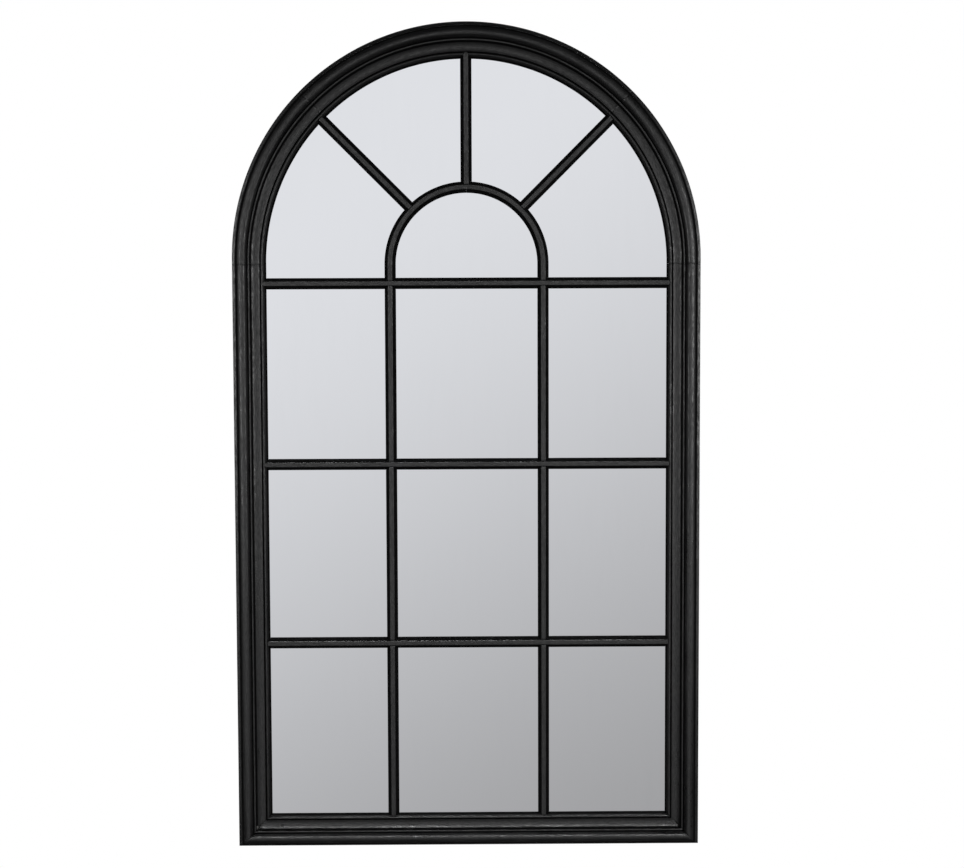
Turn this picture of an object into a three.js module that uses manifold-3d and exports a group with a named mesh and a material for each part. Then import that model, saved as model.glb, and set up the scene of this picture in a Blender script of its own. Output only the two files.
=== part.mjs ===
// An arched window mirror for a wall: a moulded frame of two stiles, a bottom rail and an arch in
// three segments, one mirror plate in its rebate, and glazing bars laid over the plate.
// Millimetres. +X is the viewer's right, +Y goes into the wall, +Z is up.
// The origin is the middle of the bottom rail's back face, which lies in the plane of the wall side.

import * as THREE from "three";
import { mergeVertices } from "three/addons/utils/BufferGeometryUtils.js";
import Module from "manifold-3d";

const wasm = await Module();
wasm.setup();

// ---- Driving sizes: the whole mirror ----

const overallWidth = 790;
const overallHeight = 1400;
const archLeg = 9; // straight run of the arch segments above the top of the stiles
const jointGap = 0.3; // between pieces that meet on a cut face

// ---- Driving sizes: the frame moulding, named from the outer edge to the glass ----

const lipWidth = 6;
const lipHeight = 12;
const lipFall = 2.2; // of the lip towards the outer edge
const torusOuterWidth = 12.5; // outer edge of the big round to its crest
const torusInnerWidth = 8.2; // crest of the big round to the quirk
const torusSpringHeight = 24;
const crestHeight = 38;
const quirkHeight = 29;
const beadWidth = 4.6;
const beadHeight = 31.2;
const coveFallWidth = 11.5; // from the bead down to the lowest line of the cove
const coveRiseWidth = 4.8; // from the lowest line of the cove up to the groove
const coveRadius = 14;
const coveHeight = 21.3;
const grooveWidth = 1.9;
const grooveDepth = 2.2;
const grooveFlank = 0.6; // each sloping side of the groove, across the moulding
const innerBeadWidth = 4.8;
const innerBeadHeight = 25;
const sightSlopeWidth = 4.2;
const sightEdgeThickness = 2; // wood left in front of the glass at the sight edge
const crownFullness = 4.2; // extra width of the moulding at the crown, which fades out at the stiles

// ---- Driving sizes: the rebate and what lies in it ----

const rebateWidth = 8.5;
const mirrorThickness = 4;
const boardThickness = 3;
const boardRecess = 9; // from the back of the frame to the back of the board
const rebateClearance = 0.8; // round the edge of the mirror plate and the board

// ---- Driving sizes: the glazing bars ----

const barWidth = 19;
const barHeight = 10;
const barEdgeHeight = 1.2;
const barShoulderWidth = 14.8;
const barShoulderHeight = 4.8;
const barShoulderRise = 0.9;
const nosingWidth = 8.2;
const nosingRadius = 1.2;
const nosingChamfer = 0.35; // how far the rounded edge lies inside the square corner
const paneRows = 3;
const topBarDrop = 32; // middle of the top bar below the centre of the inner arch
const uprightSpacing = 257; // middle to middle of the upright bars, and across the inner arch
const radialAngles = { left: 135, top: 90, right: 45 }; // degrees
const tongueEmbed = 6; // how far a housed bar end reaches past the sight edge
const tongueClearance = 0.5;
const tongueRoot = 17; // length over which a housed end is one with its bar
const barSeat = 4.3; // how far a butted bar end reaches over the sight slope

// ---- Driving sizes: the hidden fasteners ----

const dowelRadius = 4;
const dowelLength = 40;
const dowelEdgeInsets = [15, 37]; // from the outer edge of the frame
const dowelHeights = [15, 11]; // above the back of the frame
const nailArm = 7;
const nailThickness = 0.8;
const nailDepth = 10;
const nailSpread = 35; // degrees from the mitre line to each arm
const nailInsets = [14, 33]; // from the outer edge of the frame
const pointWidth = 8;
const pointLength = 15;
const pointTip = 3;
const pointThickness = 0.6;
const pointGrip = 7; // length driven into the wood
const stilePointHeights = [200, 500, 800];
const railPointOffset = 170;
const archPointAngles = [22, 56, 90, 124, 158];

// ---- Driving sizes: the hangers and bumpers on the back ----

const hangerDrop = 56; // hinge line of the rings below the top of the stiles
const hangerInset = 25; // middle of the strap from the outer edge of the frame
const strapWidth = 14;
const strapSheet = 1.2;
const strapLength = 52; // below the hinge line
const ringWire = 1.5; // radius of the wire
const ringHalfWidth = 12; // to the middle of the wire
const ringLeg = 8;
const ringClearance = 0.3;
const screwRadius = 1.75;
const screwLength = 18;
const screwTip = 4;
const screwHeadRadius = 4;
const screwHeadHeight = 2.2;
const screwRim = 0.7;
const screwDrops = [27, 43]; // below the hinge line
const bumperRadius = 6;
const bumperHeight = 6;
const bumperEdge = 1.5;
const bumperInset = 22; // from both outer edges of the corner

// ---- Worked out from them ----

const halfWidth = overallWidth / 2;
const archCentre = overallHeight - halfWidth;
const stileTop = archCentre - archLeg;
const innerArchCentre = stileTop;
const quirkInset = lipWidth + torusOuterWidth + torusInnerWidth;
const coveInset = quirkInset + beadWidth;
const grooveInset = coveInset + coveFallWidth + coveRiseWidth;
const innerBeadInset = grooveInset + grooveWidth;
const slopeInset = innerBeadInset + innerBeadWidth;
const mouldingWidth = slopeInset + sightSlopeWidth;
const rebateInset = mouldingWidth - rebateWidth;
const boardFront = boardRecess + boardThickness;
const glassFront = boardFront + mirrorThickness;
const sightEdgeTop = glassFront + sightEdgeThickness;
const originHeight = rebateInset / 2;

const nosingHalf = nosingWidth / 2;
const topBarHeight = innerArchCentre - topBarDrop;
const paneHeight = (topBarHeight + barWidth / 2 - mouldingWidth - paneRows * barWidth) / paneRows;
const barPitch = paneHeight + barWidth;
const innerArchRadius = uprightSpacing / 2;
const barCrest = glassFront + barHeight;
const tongueFloor = glassFront + barShoulderHeight;

const hangerHeight = stileTop - hangerDrop;
const strapThickness = 2 * strapSheet;
const loopRadius = ringWire + ringClearance;
const hingeOffset = strapSheet + loopRadius; // of the hinge line behind the frame
const ringReach = ringLeg + ringHalfWidth;
const ringRestRise = strapThickness + ringClearance + ringWire - hingeOffset;
const ringRestAngle = Math.asin(ringRestRise / ringReach);
const screwHole = screwRadius + jointGap;

// ---- Facets ----

const archSteps = 12; // in each 45 degrees of the frame's arch
const innerArchSteps = 20; // in each half of the inner arch
const wireSides = 8;
const ringSteps = 14;
const roundSides = 14;
const plateArcSegments = 64;
const weldDistance = 1e-3;
const cutMargin = 5; // how far cutting shapes run past what they cut

// ---- Materials ----

const blackPaint = new THREE.MeshStandardMaterial({ color: 0x161617, roughness: 0.45, metalness: 0 });
const mirrorSilver = new THREE.MeshStandardMaterial({ color: 0xe6e8ea, roughness: 0.03, metalness: 1 });
const hardboard = new THREE.MeshStandardMaterial({ color: 0x8a6a48, roughness: 0.85, metalness: 0 });
const beech = new THREE.MeshStandardMaterial({ color: 0xc9a878, roughness: 0.7, metalness: 0 });
const zincSteel = new THREE.MeshStandardMaterial({ color: 0xb4b6b8, roughness: 0.35, metalness: 1 });
const blackRubber = new THREE.MeshStandardMaterial({ color: 0x1b1b1b, roughness: 0.9, metalness: 0 });

// ---- Solids ----

function toSolid(geometry) {
  const bare = geometry.clone();
  bare.deleteAttribute("normal");
  bare.deleteAttribute("uv");
  const merged = mergeVertices(bare, weldDistance);
  const mesh = new wasm.Mesh({
    numProp: 3,
    vertProperties: new Float32Array(merged.attributes.position.array),
    triVerts: new Uint32Array(merged.index.array),
  });
  return new wasm.Manifold(mesh);
}

function toGeometry(solid) {
  const mesh = solid.getMesh();
  const geometry = new THREE.BufferGeometry();
  geometry.setAttribute("position", new THREE.BufferAttribute(new Float32Array(mesh.vertProperties), 3));
  geometry.setIndex(new THREE.BufferAttribute(new Uint32Array(mesh.triVerts), 1));
  geometry.computeVertexNormals();
  return geometry;
}

const join = (solids) => solids.reduce((whole, next) => whole.add(next));
const cut = (solid, cutters) => cutters.reduce((rest, cutter) => rest.subtract(cutter), solid);

// The same geometry moved by a small step, for a neighbour that keeps a gap to it.
const shifted = (geometry, x, z) => toSolid(geometry.clone().translate(x, 0, z));

// ---- Routes that a section is swept along ----

// A route in an upright plane. The section's x is its height above the back of the frame, towards
// the front, and its y lies on the right-hand side of the direction of travel.
class FlatRoute extends THREE.Curve {
  getUtoTmapping(u) {
    return u;
  }

  computeFrenetFrames(segments) {
    const front = new THREE.Vector3(0, -1, 0);
    const frames = { tangents: [], normals: [], binormals: [] };
    for (let i = 0; i <= segments; i++) {
      const tangent = this.getTangent(i / segments);
      frames.tangents.push(tangent);
      frames.normals.push(front.clone());
      frames.binormals.push(new THREE.Vector3().crossVectors(tangent, front));
    }
    return frames;
  }
}

class StraightRoute extends FlatRoute {
  constructor(from, to) {
    super();
    this.from = from;
    this.to = to;
  }

  getPoint(t, target = new THREE.Vector3()) {
    const x = THREE.MathUtils.lerp(this.from.x, this.to.x, t);
    const z = THREE.MathUtils.lerp(this.from.z, this.to.z, t);
    return target.set(x, 0, z);
  }

  getTangent(t, target = new THREE.Vector3()) {
    return target.set(this.to.x - this.from.x, 0, this.to.z - this.from.z).normalize();
  }
}

// An arc about (0, centre) with a straight run before it and after it, and both ends trimmed.
class ArchRoute extends FlatRoute {
  constructor({ centre, radius, from, to, leadIn = 0, leadOut = 0, trim = 0 }) {
    super();
    this.centre = centre;
    this.radius = radius;
    this.from = THREE.MathUtils.degToRad(from);
    this.to = THREE.MathUtils.degToRad(to);
    this.turn = Math.sign(to - from);
    this.leadIn = leadIn;
    this.arc = Math.abs(this.to - this.from) * radius;
    this.trim = trim;
    this.run = leadIn + this.arc + leadOut - 2 * trim;
  }

  // How far along the arc a share of the route lies, and how far outside the arc on a straight run.
  place(t) {
    const along = this.trim + t * this.run - this.leadIn;
    const onArc = THREE.MathUtils.clamp(along, 0, this.arc);
    return { angle: this.from + (this.turn * onArc) / this.radius, beyond: along - onArc };
  }

  getPoint(t, target = new THREE.Vector3()) {
    const { angle, beyond } = this.place(t);
    const x = this.radius * Math.cos(angle) - this.turn * beyond * Math.sin(angle);
    const z = this.centre + this.radius * Math.sin(angle) + this.turn * beyond * Math.cos(angle);
    return target.set(x, 0, z);
  }

  getTangent(t, target = new THREE.Vector3()) {
    const { angle } = this.place(t);
    return target.set(-this.turn * Math.sin(angle), 0, this.turn * Math.cos(angle));
  }
}

const swept = (section, route, steps = 1) =>
  new THREE.ExtrudeGeometry(section, { extrudePath: route, steps });

// A plan outline in x and z, as thick as the space between two heights above the back.
function plate(outline, fromHeight, toHeight, curveSegments = roundSides) {
  const options = { depth: toHeight - fromHeight, bevelEnabled: false, curveSegments };
  const geometry = new THREE.ExtrudeGeometry(outline, options);
  return geometry.rotateX(Math.PI / 2).translate(0, -fromHeight, 0);
}

function polygon(points) {
  return new THREE.Shape(points.map(([x, y]) => new THREE.Vector2(x, y)));
}

// ---- Sections ----

// Points of an elliptical arc, from one angle in degrees to another.
function arcPoints(centreX, centreY, radiusX, radiusY, from, to, count) {
  const curve = new THREE.EllipseCurve(
    centreX,
    centreY,
    radiusX,
    radiusY,
    THREE.MathUtils.degToRad(from),
    THREE.MathUtils.degToRad(to),
    to < from,
  );
  return curve.getPoints(count).map((p) => [p.x, p.y]);
}

// The frame moulding, drawn as (distance from the outer edge, height above the back).
function mouldingOutline() {
  const torusCentre = lipWidth + torusOuterWidth;
  const torusRise = crestHeight - torusSpringHeight;
  const quirkAngle = THREE.MathUtils.radToDeg(Math.asin((quirkHeight - torusSpringHeight) / torusRise));
  const innerRound = torusInnerWidth / Math.cos(THREE.MathUtils.degToRad(quirkAngle));
  const beadRadius = beadWidth / 2;
  const beadRise = beadHeight - quirkHeight;
  const coveLine = coveInset + coveFallWidth;
  const coveFrom = 180 + THREE.MathUtils.radToDeg(Math.acos(coveFallWidth / coveRadius));
  const coveTo = 270 + THREE.MathUtils.radToDeg(Math.asin(coveRiseWidth / coveRadius));
  const coveRiseHeight = coveHeight + coveRadius * (1 + Math.sin(THREE.MathUtils.degToRad(coveTo)));
  const grooveFloor = coveRiseHeight - grooveDepth;
  const innerRadius = innerBeadWidth / 2;
  const innerRise = innerBeadHeight - coveRiseHeight;
  const beadFrom = 165; // degrees at which the bead leaves the quirk
  const beadTo = 15; // degrees at which the inner bead turns into the sight slope
  return [
    [0, 0],
    [0, lipHeight - lipFall],
    [lipWidth, lipHeight],
    ...arcPoints(torusCentre, torusSpringHeight, torusOuterWidth, torusRise, 180, 90, 8),
    ...arcPoints(torusCentre, torusSpringHeight, innerRound, torusRise, 90, quirkAngle, 5).slice(1),
    ...arcPoints(quirkInset + beadRadius, quirkHeight, beadRadius, beadRise, beadFrom, 0, 5),
    ...arcPoints(coveLine, coveHeight + coveRadius, coveRadius, coveRadius, coveFrom, coveTo, 8),
    [grooveInset + grooveFlank, grooveFloor],
    [innerBeadInset - grooveFlank, grooveFloor],
    ...arcPoints(innerBeadInset + innerRadius, coveRiseHeight, innerRadius, innerRise, 180, beadTo, 6),
    [mouldingWidth, sightEdgeTop],
    [mouldingWidth, glassFront],
    [rebateInset, glassFront],
    [rebateInset, 0],
  ];
}

// Sections are swept with their height as x and their distance to the right as y.
const mouldingSection = polygon(mouldingOutline().map(([inset, height]) => [height, inset]));

// Half of a glazing bar, drawn as (height above the back, distance from the middle line).
const nosingHalfOutline = (floor) => [
  [floor, nosingHalf],
  [barCrest - nosingRadius, nosingHalf],
  [barCrest - nosingChamfer, nosingHalf - nosingChamfer],
  [barCrest, nosingHalf - nosingRadius],
];
const barHalfOutline = [
  [glassFront, barWidth / 2],
  [glassFront + barEdgeHeight, barWidth / 2],
  [tongueFloor, barShoulderWidth / 2],
  ...nosingHalfOutline(tongueFloor + barShoulderRise),
];

function symmetric(half) {
  const other = half.map(([height, side]) => [height, -side]).reverse();
  return polygon([...half, ...other]);
}

const barSection = symmetric(barHalfOutline);
const nosingSection = symmetric(nosingHalfOutline(tongueFloor));

// ---- Frame members ----

const point = (x, z) => ({ x, z });

// Everything below a line at 45 degrees through the frame's lower left or right corner.
function cornerWedge(side, gap) {
  const reach = mouldingWidth + cutMargin;
  const edge = side * halfWidth;
  const towards = -side;
  const rise = gap * Math.SQRT2;
  const outline = polygon([
    [edge - towards * cutMargin, -cutMargin + rise],
    [edge + towards * reach, reach + rise],
    [edge + towards * reach, -cutMargin],
    [edge - towards * cutMargin, -2 * cutMargin],
  ]);
  return toSolid(plate(outline, -cutMargin, crestHeight + cutMargin));
}

function stile(side) {
  const foot = point(side * halfWidth, 0);
  const head = point(side * halfWidth, stileTop - jointGap / 2);
  const route = side < 0 ? new StraightRoute(foot, head) : new StraightRoute(head, foot);
  return toSolid(swept(mouldingSection, route)).subtract(cornerWedge(side, jointGap / 2));
}

function bottomRail() {
  const route = new StraightRoute(point(halfWidth, 0), point(-halfWidth, 0));
  const whole = toSolid(swept(mouldingSection, route));
  const inside = mouldingWidth + cutMargin;
  const gap = (jointGap / 2) * Math.SQRT2;
  const keep = polygon([
    [-halfWidth - cutMargin + gap, -cutMargin],
    [halfWidth + cutMargin - gap, -cutMargin],
    [halfWidth - inside - gap, inside],
    [-halfWidth + inside + gap, inside],
  ]);
  return whole.intersect(toSolid(plate(keep, -cutMargin, crestHeight + cutMargin)));
}

// The extra width of the moulding on a line from the arch's centre, where sine is the line's rise.
const fullnessAt = (sine) => crownFullness * sine * (2 - sine);

// What lies in front of the glass is drawn in towards the arch's centre as the moulding gets wider.
function widened(geometry) {
  const positions = geometry.attributes.position;
  for (let i = 0; i < positions.count; i++) {
    const x = positions.getX(i);
    const rise = Math.max(positions.getZ(i) - archCentre, 0);
    const reach = Math.hypot(x, rise);
    const inset = halfWidth - reach;
    const behindGlassFront = -positions.getY(i) < glassFront + weldDistance;
    if (behindGlassFront && inset < rebateInset + weldDistance) continue;
    const scale = 1 - (fullnessAt(rise / reach) * inset) / (mouldingWidth * reach);
    positions.setX(i, x * scale);
    if (rise > 0) positions.setZ(i, archCentre + rise * scale);
  }
  return geometry;
}

function archSegment(from, to, leadIn, leadOut) {
  const steps = Math.round((archSteps * (from - to)) / 45);
  const arc = { centre: archCentre, radius: halfWidth, from, to, leadIn, leadOut, trim: jointGap / 2 };
  return toSolid(widened(swept(mouldingSection, new ArchRoute(arc), steps)));
}

const frame = {
  left_stile: stile(-1),
  arch_left_haunch: archSegment(180, 135, archLeg, 0),
  arch_crown: archSegment(135, 45, 0, 0),
  arch_right_haunch: archSegment(45, 0, 0, archLeg),
  right_stile: stile(1),
  bottom_rail: bottomRail(),
};

const uncutFrame = Object.fromEntries(
  Object.entries(frame).map(([name, solid]) => [name, toGeometry(solid)]),
);

// ---- Glazing bars ----

const seatInset = mouldingWidth - barSeat;
const rowHeight = (row) => topBarHeight - (paneRows - row) * barPitch; // 1 is the lowest bar
const archPieces = [uncutFrame.arch_left_haunch, uncutFrame.arch_crown, uncutFrame.arch_right_haunch];

// The distance from the inner arch's centre, along a direction, to a circle about the arch's centre.
function reachTo(radius, direction) {
  const offset = archCentre - innerArchCentre;
  return offset * direction.z + Math.sqrt(radius ** 2 - (offset * direction.x) ** 2);
}

// A round-ended outline about a bar end, which points along a direction.
function tongueOutline(end, direction, halfBreadth) {
  const heading = Math.atan2(direction.z, direction.x);
  const centre = { x: end.x - direction.x * nosingHalf, z: end.z - direction.z * nosingHalf };
  const outline = new THREE.Shape();
  const side = { x: -direction.z * halfBreadth, z: direction.x * halfBreadth };
  const root = { x: centre.x - direction.x * tongueRoot, z: centre.z - direction.z * tongueRoot };
  outline.moveTo(root.x - side.x, root.z - side.z);
  outline.absarc(centre.x, centre.z, halfBreadth, heading - Math.PI / 2, heading + Math.PI / 2, false);
  outline.lineTo(root.x + side.x, root.z + side.z);
  return outline;
}

// The housed end of a bar: its nosing runs on into a round-ended notch of the inner bead.
function tongue(end, direction) {
  const start = point(end.x - direction.x * tongueRoot, end.z - direction.z * tongueRoot);
  const run = toSolid(swept(nosingSection, new StraightRoute(start, end)));
  const outline = tongueOutline(end, direction, nosingHalf);
  const plan = plate(outline, tongueFloor - cutMargin, barCrest + cutMargin);
  return run.intersect(toSolid(plan));
}

function notch(end, direction) {
  const outline = tongueOutline(end, direction, nosingHalf + tongueClearance);
  return toSolid(plate(outline, tongueFloor - jointGap, crestHeight + cutMargin));
}

const left = { x: -1, z: 0 };
const housedInset = mouldingWidth - tongueEmbed;

const bars = {};
const barNames = ["glazing_bar_bottom", "glazing_bar_middle", "glazing_bar_top"];
const housedRows = [2, 3]; // rows whose left end is housed in the frame

barNames.forEach((name, index) => {
  const row = index + 1;
  const height = rowHeight(row);
  const end = halfWidth - seatInset;
  const whole = toSolid(swept(barSection, new StraightRoute(point(-end, height), point(end, height))));
  const coped = cut(whole, [
    shifted(uncutFrame.left_stile, jointGap, 0),
    shifted(uncutFrame.right_stile, -jointGap, 0),
  ]);
  const housedEnd = point(-halfWidth + housedInset, height);
  bars[name] = housedRows.includes(row) ? coped.add(tongue(housedEnd, left)) : coped;
  if (housedRows.includes(row)) {
    frame.left_stile = frame.left_stile.subtract(notch(housedEnd, left));
  }
});

const rowGeometry = barNames.map((name) => toGeometry(bars[name]));

// An upright bar between two rows; row 0 is the bottom rail.
function uprightBar(x, row) {
  const foot = row === 1 ? seatInset : rowHeight(row - 1) + nosingHalf + jointGap;
  const head = rowHeight(row) - nosingHalf - jointGap;
  const whole = toSolid(swept(barSection, new StraightRoute(point(x, foot), point(x, head))));
  const below = row === 1 ? uncutFrame.bottom_rail : rowGeometry[row - 2];
  return cut(whole, [shifted(below, 0, jointGap), shifted(rowGeometry[row - 1], 0, -jointGap)]);
}

for (let row = 1; row <= paneRows; row++) {
  bars[`left_bar_${row}`] = uprightBar(-uprightSpacing / 2, row);
  bars[`right_bar_${row}`] = uprightBar(uprightSpacing / 2, row);
}

// Half of the inner arch with its straight leg, which stands on the top bar.
function innerArchHalf(side) {
  const leg = topBarDrop - nosingHalf - jointGap;
  const arc = { centre: innerArchCentre, radius: innerArchRadius, trim: jointGap / 2 };
  const route =
    side < 0
      ? new ArchRoute({ ...arc, from: 180, to: 90, leadIn: leg })
      : new ArchRoute({ ...arc, from: 90, to: 0, leadOut: leg });
  const whole = toSolid(swept(barSection, route, innerArchSteps));
  return whole.subtract(shifted(rowGeometry[paneRows - 1], 0, jointGap));
}

bars.inner_arch_left = innerArchHalf(-1);
bars.inner_arch_right = innerArchHalf(1);
const innerArchGeometry = [toGeometry(bars.inner_arch_left), toGeometry(bars.inner_arch_right)];

// A bar from the inner arch out to the frame's arch.
function radialBar(degrees, housed) {
  const angle = THREE.MathUtils.degToRad(degrees);
  const direction = { x: Math.cos(angle), z: Math.sin(angle) };
  const along = (reach) => point(direction.x * reach, innerArchCentre + direction.z * reach);
  const inner = along(innerArchRadius + nosingHalf + jointGap);
  const seat = seatInset + (fullnessAt(direction.z) * seatInset) / mouldingWidth;
  const outer = along(reachTo(halfWidth - seat, direction));
  const whole = toSolid(swept(barSection, new StraightRoute(inner, outer)));
  const step = { x: direction.x * jointGap, z: direction.z * jointGap };
  const coped = cut(whole, [
    ...innerArchGeometry.map((geometry) => shifted(geometry, step.x, step.z)),
    ...archPieces.map((geometry) => shifted(geometry, -step.x, -step.z)),
  ]);
  if (!housed) return coped;
  const end = along(reachTo(halfWidth - housedInset, direction));
  frame.arch_crown = frame.arch_crown.subtract(notch(end, direction));
  return coped.add(tongue(end, direction));
}

for (const [place, degrees] of Object.entries(radialAngles)) {
  bars[`radial_bar_${place}`] = radialBar(degrees, place === "top");
}

// ---- Mirror plate and backing board ----

function archedOutline(inset) {
  const half = halfWidth - inset;
  const outline = new THREE.Shape();
  outline.moveTo(-half, inset);
  outline.lineTo(half, inset);
  outline.absarc(0, archCentre, half, 0, Math.PI, false);
  return outline;
}

const sheetOutline = archedOutline(rebateInset + rebateClearance);
const mirrorPlate = plate(sheetOutline, boardFront, glassFront, plateArcSegments);
const backingBoard = plate(sheetOutline, boardRecess, boardFront, plateArcSegments);

// ---- Fasteners: each has its shape, the pocket it needs, its place and what the pocket cuts ----

const fasteners = [];

function cylinderAlongZ(radius, length) {
  return new THREE.CylinderGeometry(radius, radius, length, roundSides).rotateX(Math.PI / 2);
}

const dowelShape = cylinderAlongZ(dowelRadius, dowelLength);
const dowelPocket = cylinderAlongZ(dowelRadius + jointGap, dowelLength + 2 * jointGap);
const dowelJoints = [
  { name: "left_stile", degrees: 180, drop: archLeg, pieces: ["left_stile", "arch_left_haunch"] },
  { name: "left_arch", degrees: 135, drop: 0, pieces: ["arch_left_haunch", "arch_crown"] },
  { name: "right_arch", degrees: 45, drop: 0, pieces: ["arch_crown", "arch_right_haunch"] },
  { name: "right_stile", degrees: 0, drop: archLeg, pieces: ["arch_right_haunch", "right_stile"] },
];

for (const { name, degrees, drop, pieces } of dowelJoints) {
  const angle = THREE.MathUtils.degToRad(degrees);
  dowelEdgeInsets.forEach((inset, index) => {
    const radius = halfWidth - inset;
    fasteners.push({
      name: `${name}_dowel_${index === 0 ? "outer" : "inner"}`,
      shape: dowelShape,
      pocket: dowelPocket,
      position: [
        Math.cos(angle) * radius,
        -dowelHeights[index],
        archCentre - drop + Math.sin(angle) * radius,
      ],
      turn: Math.PI - angle,
      material: beech,
      pieces,
    });
  });
}

// A V of thin steel with its point towards -x, as deep as the nail goes into the wood.
function nailOutline(grow) {
  const spread = THREE.MathUtils.degToRad(nailSpread);
  const arm = nailArm + grow;
  const half = nailThickness / 2 + grow;
  const along = { x: Math.cos(spread), z: Math.sin(spread) };
  const outerTip = -half / along.z;
  return polygon([
    [outerTip, 0],
    [along.x * arm + along.z * half, -along.z * arm + along.x * half - 2 * half * along.x],
    [along.x * arm + along.z * half, -along.z * arm + along.x * half],
    [-outerTip, 0],
    [along.x * arm + along.z * half, along.z * arm - along.x * half],
    [along.x * arm + along.z * half, along.z * arm - along.x * half + 2 * half * along.x],
  ]);
}

const nailShape = plate(nailOutline(0), 0, nailDepth);
const nailPocket = plate(nailOutline(jointGap), -cutMargin, nailDepth + jointGap);

for (const [place, side] of [["left", -1], ["right", 1]]) {
  nailInsets.forEach((inset, index) => {
    fasteners.push({
      name: `${place}_corner_v_nail_${index === 0 ? "outer" : "inner"}`,
      shape: nailShape,
      pocket: nailPocket,
      position: [side * (halfWidth - inset), 0, inset],
      turn: side < 0 ? -Math.PI / 4 : (-3 * Math.PI) / 4,
      material: zincSteel,
      pieces: [`${place}_stile`, "bottom_rail"],
    });
  });
}

// A glazing point lies on the back of the board, with its tip driven into the rebate's wall.
function glazingPointOutline(grow) {
  const half = pointWidth / 2 + grow;
  const tip = pointGrip + grow;
  return polygon([
    [pointGrip - pointLength, -half],
    [tip - pointTip, -half],
    [tip, 0],
    [tip - pointTip, half],
    [pointGrip - pointLength, half],
  ]);
}

const pointShape = plate(glazingPointOutline(0), boardRecess - pointThickness, boardRecess);
const pointPocket = plate(
  glazingPointOutline(jointGap),
  boardRecess - pointThickness - jointGap,
  boardRecess + jointGap,
);

const pointPlaces = [];
for (const height of stilePointHeights) {
  pointPlaces.push({ x: -halfWidth + rebateInset, z: height, turn: Math.PI, piece: "left_stile" });
  pointPlaces.push({ x: halfWidth - rebateInset, z: height, turn: 0, piece: "right_stile" });
}
for (const side of [-1, 1]) {
  pointPlaces.push({ x: side * railPointOffset, z: rebateInset, turn: Math.PI / 2, piece: "bottom_rail" });
}
for (const degrees of archPointAngles) {
  const angle = THREE.MathUtils.degToRad(degrees);
  const radius = halfWidth - rebateInset;
  const sidePiece = degrees < 90 ? "arch_right_haunch" : "arch_left_haunch";
  pointPlaces.push({
    x: Math.cos(angle) * radius,
    z: archCentre + Math.sin(angle) * radius,
    turn: -angle,
    piece: degrees > 45 && degrees < 135 ? "arch_crown" : sidePiece,
  });
}

pointPlaces.forEach(({ x, z, turn, piece }, index) => {
  fasteners.push({
    name: `glazing_point_${String(index + 1).padStart(2, "0")}`,
    shape: pointShape,
    pocket: pointPocket,
    position: [x, 0, z],
    turn,
    material: zincSteel,
    pieces: [piece],
  });
});

// ---- Hangers and bumpers ----

// A screw along y: its head stands on y = 0, its shank goes towards -y.
function screwShape() {
  const dome = new THREE.EllipseCurve(
    0,
    screwRim,
    screwHeadRadius,
    screwHeadHeight - screwRim,
    0,
    Math.PI / 2,
  );
  const points = [
    new THREE.Vector2(0, -screwLength),
    new THREE.Vector2(screwRadius, screwTip - screwLength),
    new THREE.Vector2(screwRadius, 0),
    new THREE.Vector2(screwHeadRadius, 0),
    ...dome.getPoints(4),
  ];
  points[points.length - 1].x = 0;
  return new THREE.LatheGeometry(points, roundSides);
}

function bumperShape() {
  const points = [
    new THREE.Vector2(0, 0),
    new THREE.Vector2(bumperRadius, 0),
    new THREE.Vector2(bumperRadius, bumperHeight - bumperEdge),
    new THREE.Vector2(bumperRadius - bumperEdge, bumperHeight),
    new THREE.Vector2(0, bumperHeight),
  ];
  return new THREE.LatheGeometry(points, roundSides);
}

function cylinderAlongY(radius, length) {
  return new THREE.CylinderGeometry(radius, radius, length, roundSides);
}

// The folded strap, about its hinge line: two layers of sheet that close round the ring's bar.
function strapShape() {
  const outer = loopRadius + strapSheet;
  const meetAngle = -Math.PI / 3;
  const meet = {
    y: hingeOffset + outer * Math.cos(meetAngle),
    z: outer * Math.sin(meetAngle),
  };
  const bendZ = meet.z - (meet.y - strapThickness) * Math.tan(-meetAngle / 2);
  const side = new THREE.Shape();
  side.moveTo(0, -strapLength);
  side.lineTo(strapThickness, -strapLength);
  side.lineTo(strapThickness, 2 * bendZ - meet.z);
  side.quadraticCurveTo(strapThickness, bendZ, meet.y, meet.z);
  side.absarc(hingeOffset, 0, outer, meetAngle, Math.PI, false);
  const eye = new THREE.Path();
  eye.absarc(hingeOffset, 0, loopRadius, 0, 2 * Math.PI, false);
  side.holes.push(eye);
  const run = new THREE.ExtrudeGeometry(side, {
    depth: strapWidth,
    bevelEnabled: false,
    curveSegments: roundSides,
  });
  const axes = new THREE.Matrix4().makeBasis(
    new THREE.Vector3(0, 1, 0),
    new THREE.Vector3(0, 0, 1),
    new THREE.Vector3(1, 0, 0),
  );
  run.translate(0, 0, -strapWidth / 2).applyMatrix4(axes);
  const half = strapWidth / 2;
  const plan = new THREE.Shape();
  plan.moveTo(half, outer + cutMargin);
  plan.lineTo(-half, outer + cutMargin);
  plan.absarc(0, half - strapLength, half, Math.PI, 2 * Math.PI, false);
  const rounded = toSolid(run).intersect(toSolid(plate(plan, -2 * outer - cutMargin, cutMargin)));
  const holes = screwDrops.map((drop) =>
    toSolid(cylinderAlongY(screwHole, 4 * strapThickness).translate(0, 0, -drop)),
  );
  return toGeometry(cut(rounded, holes));
}

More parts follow.
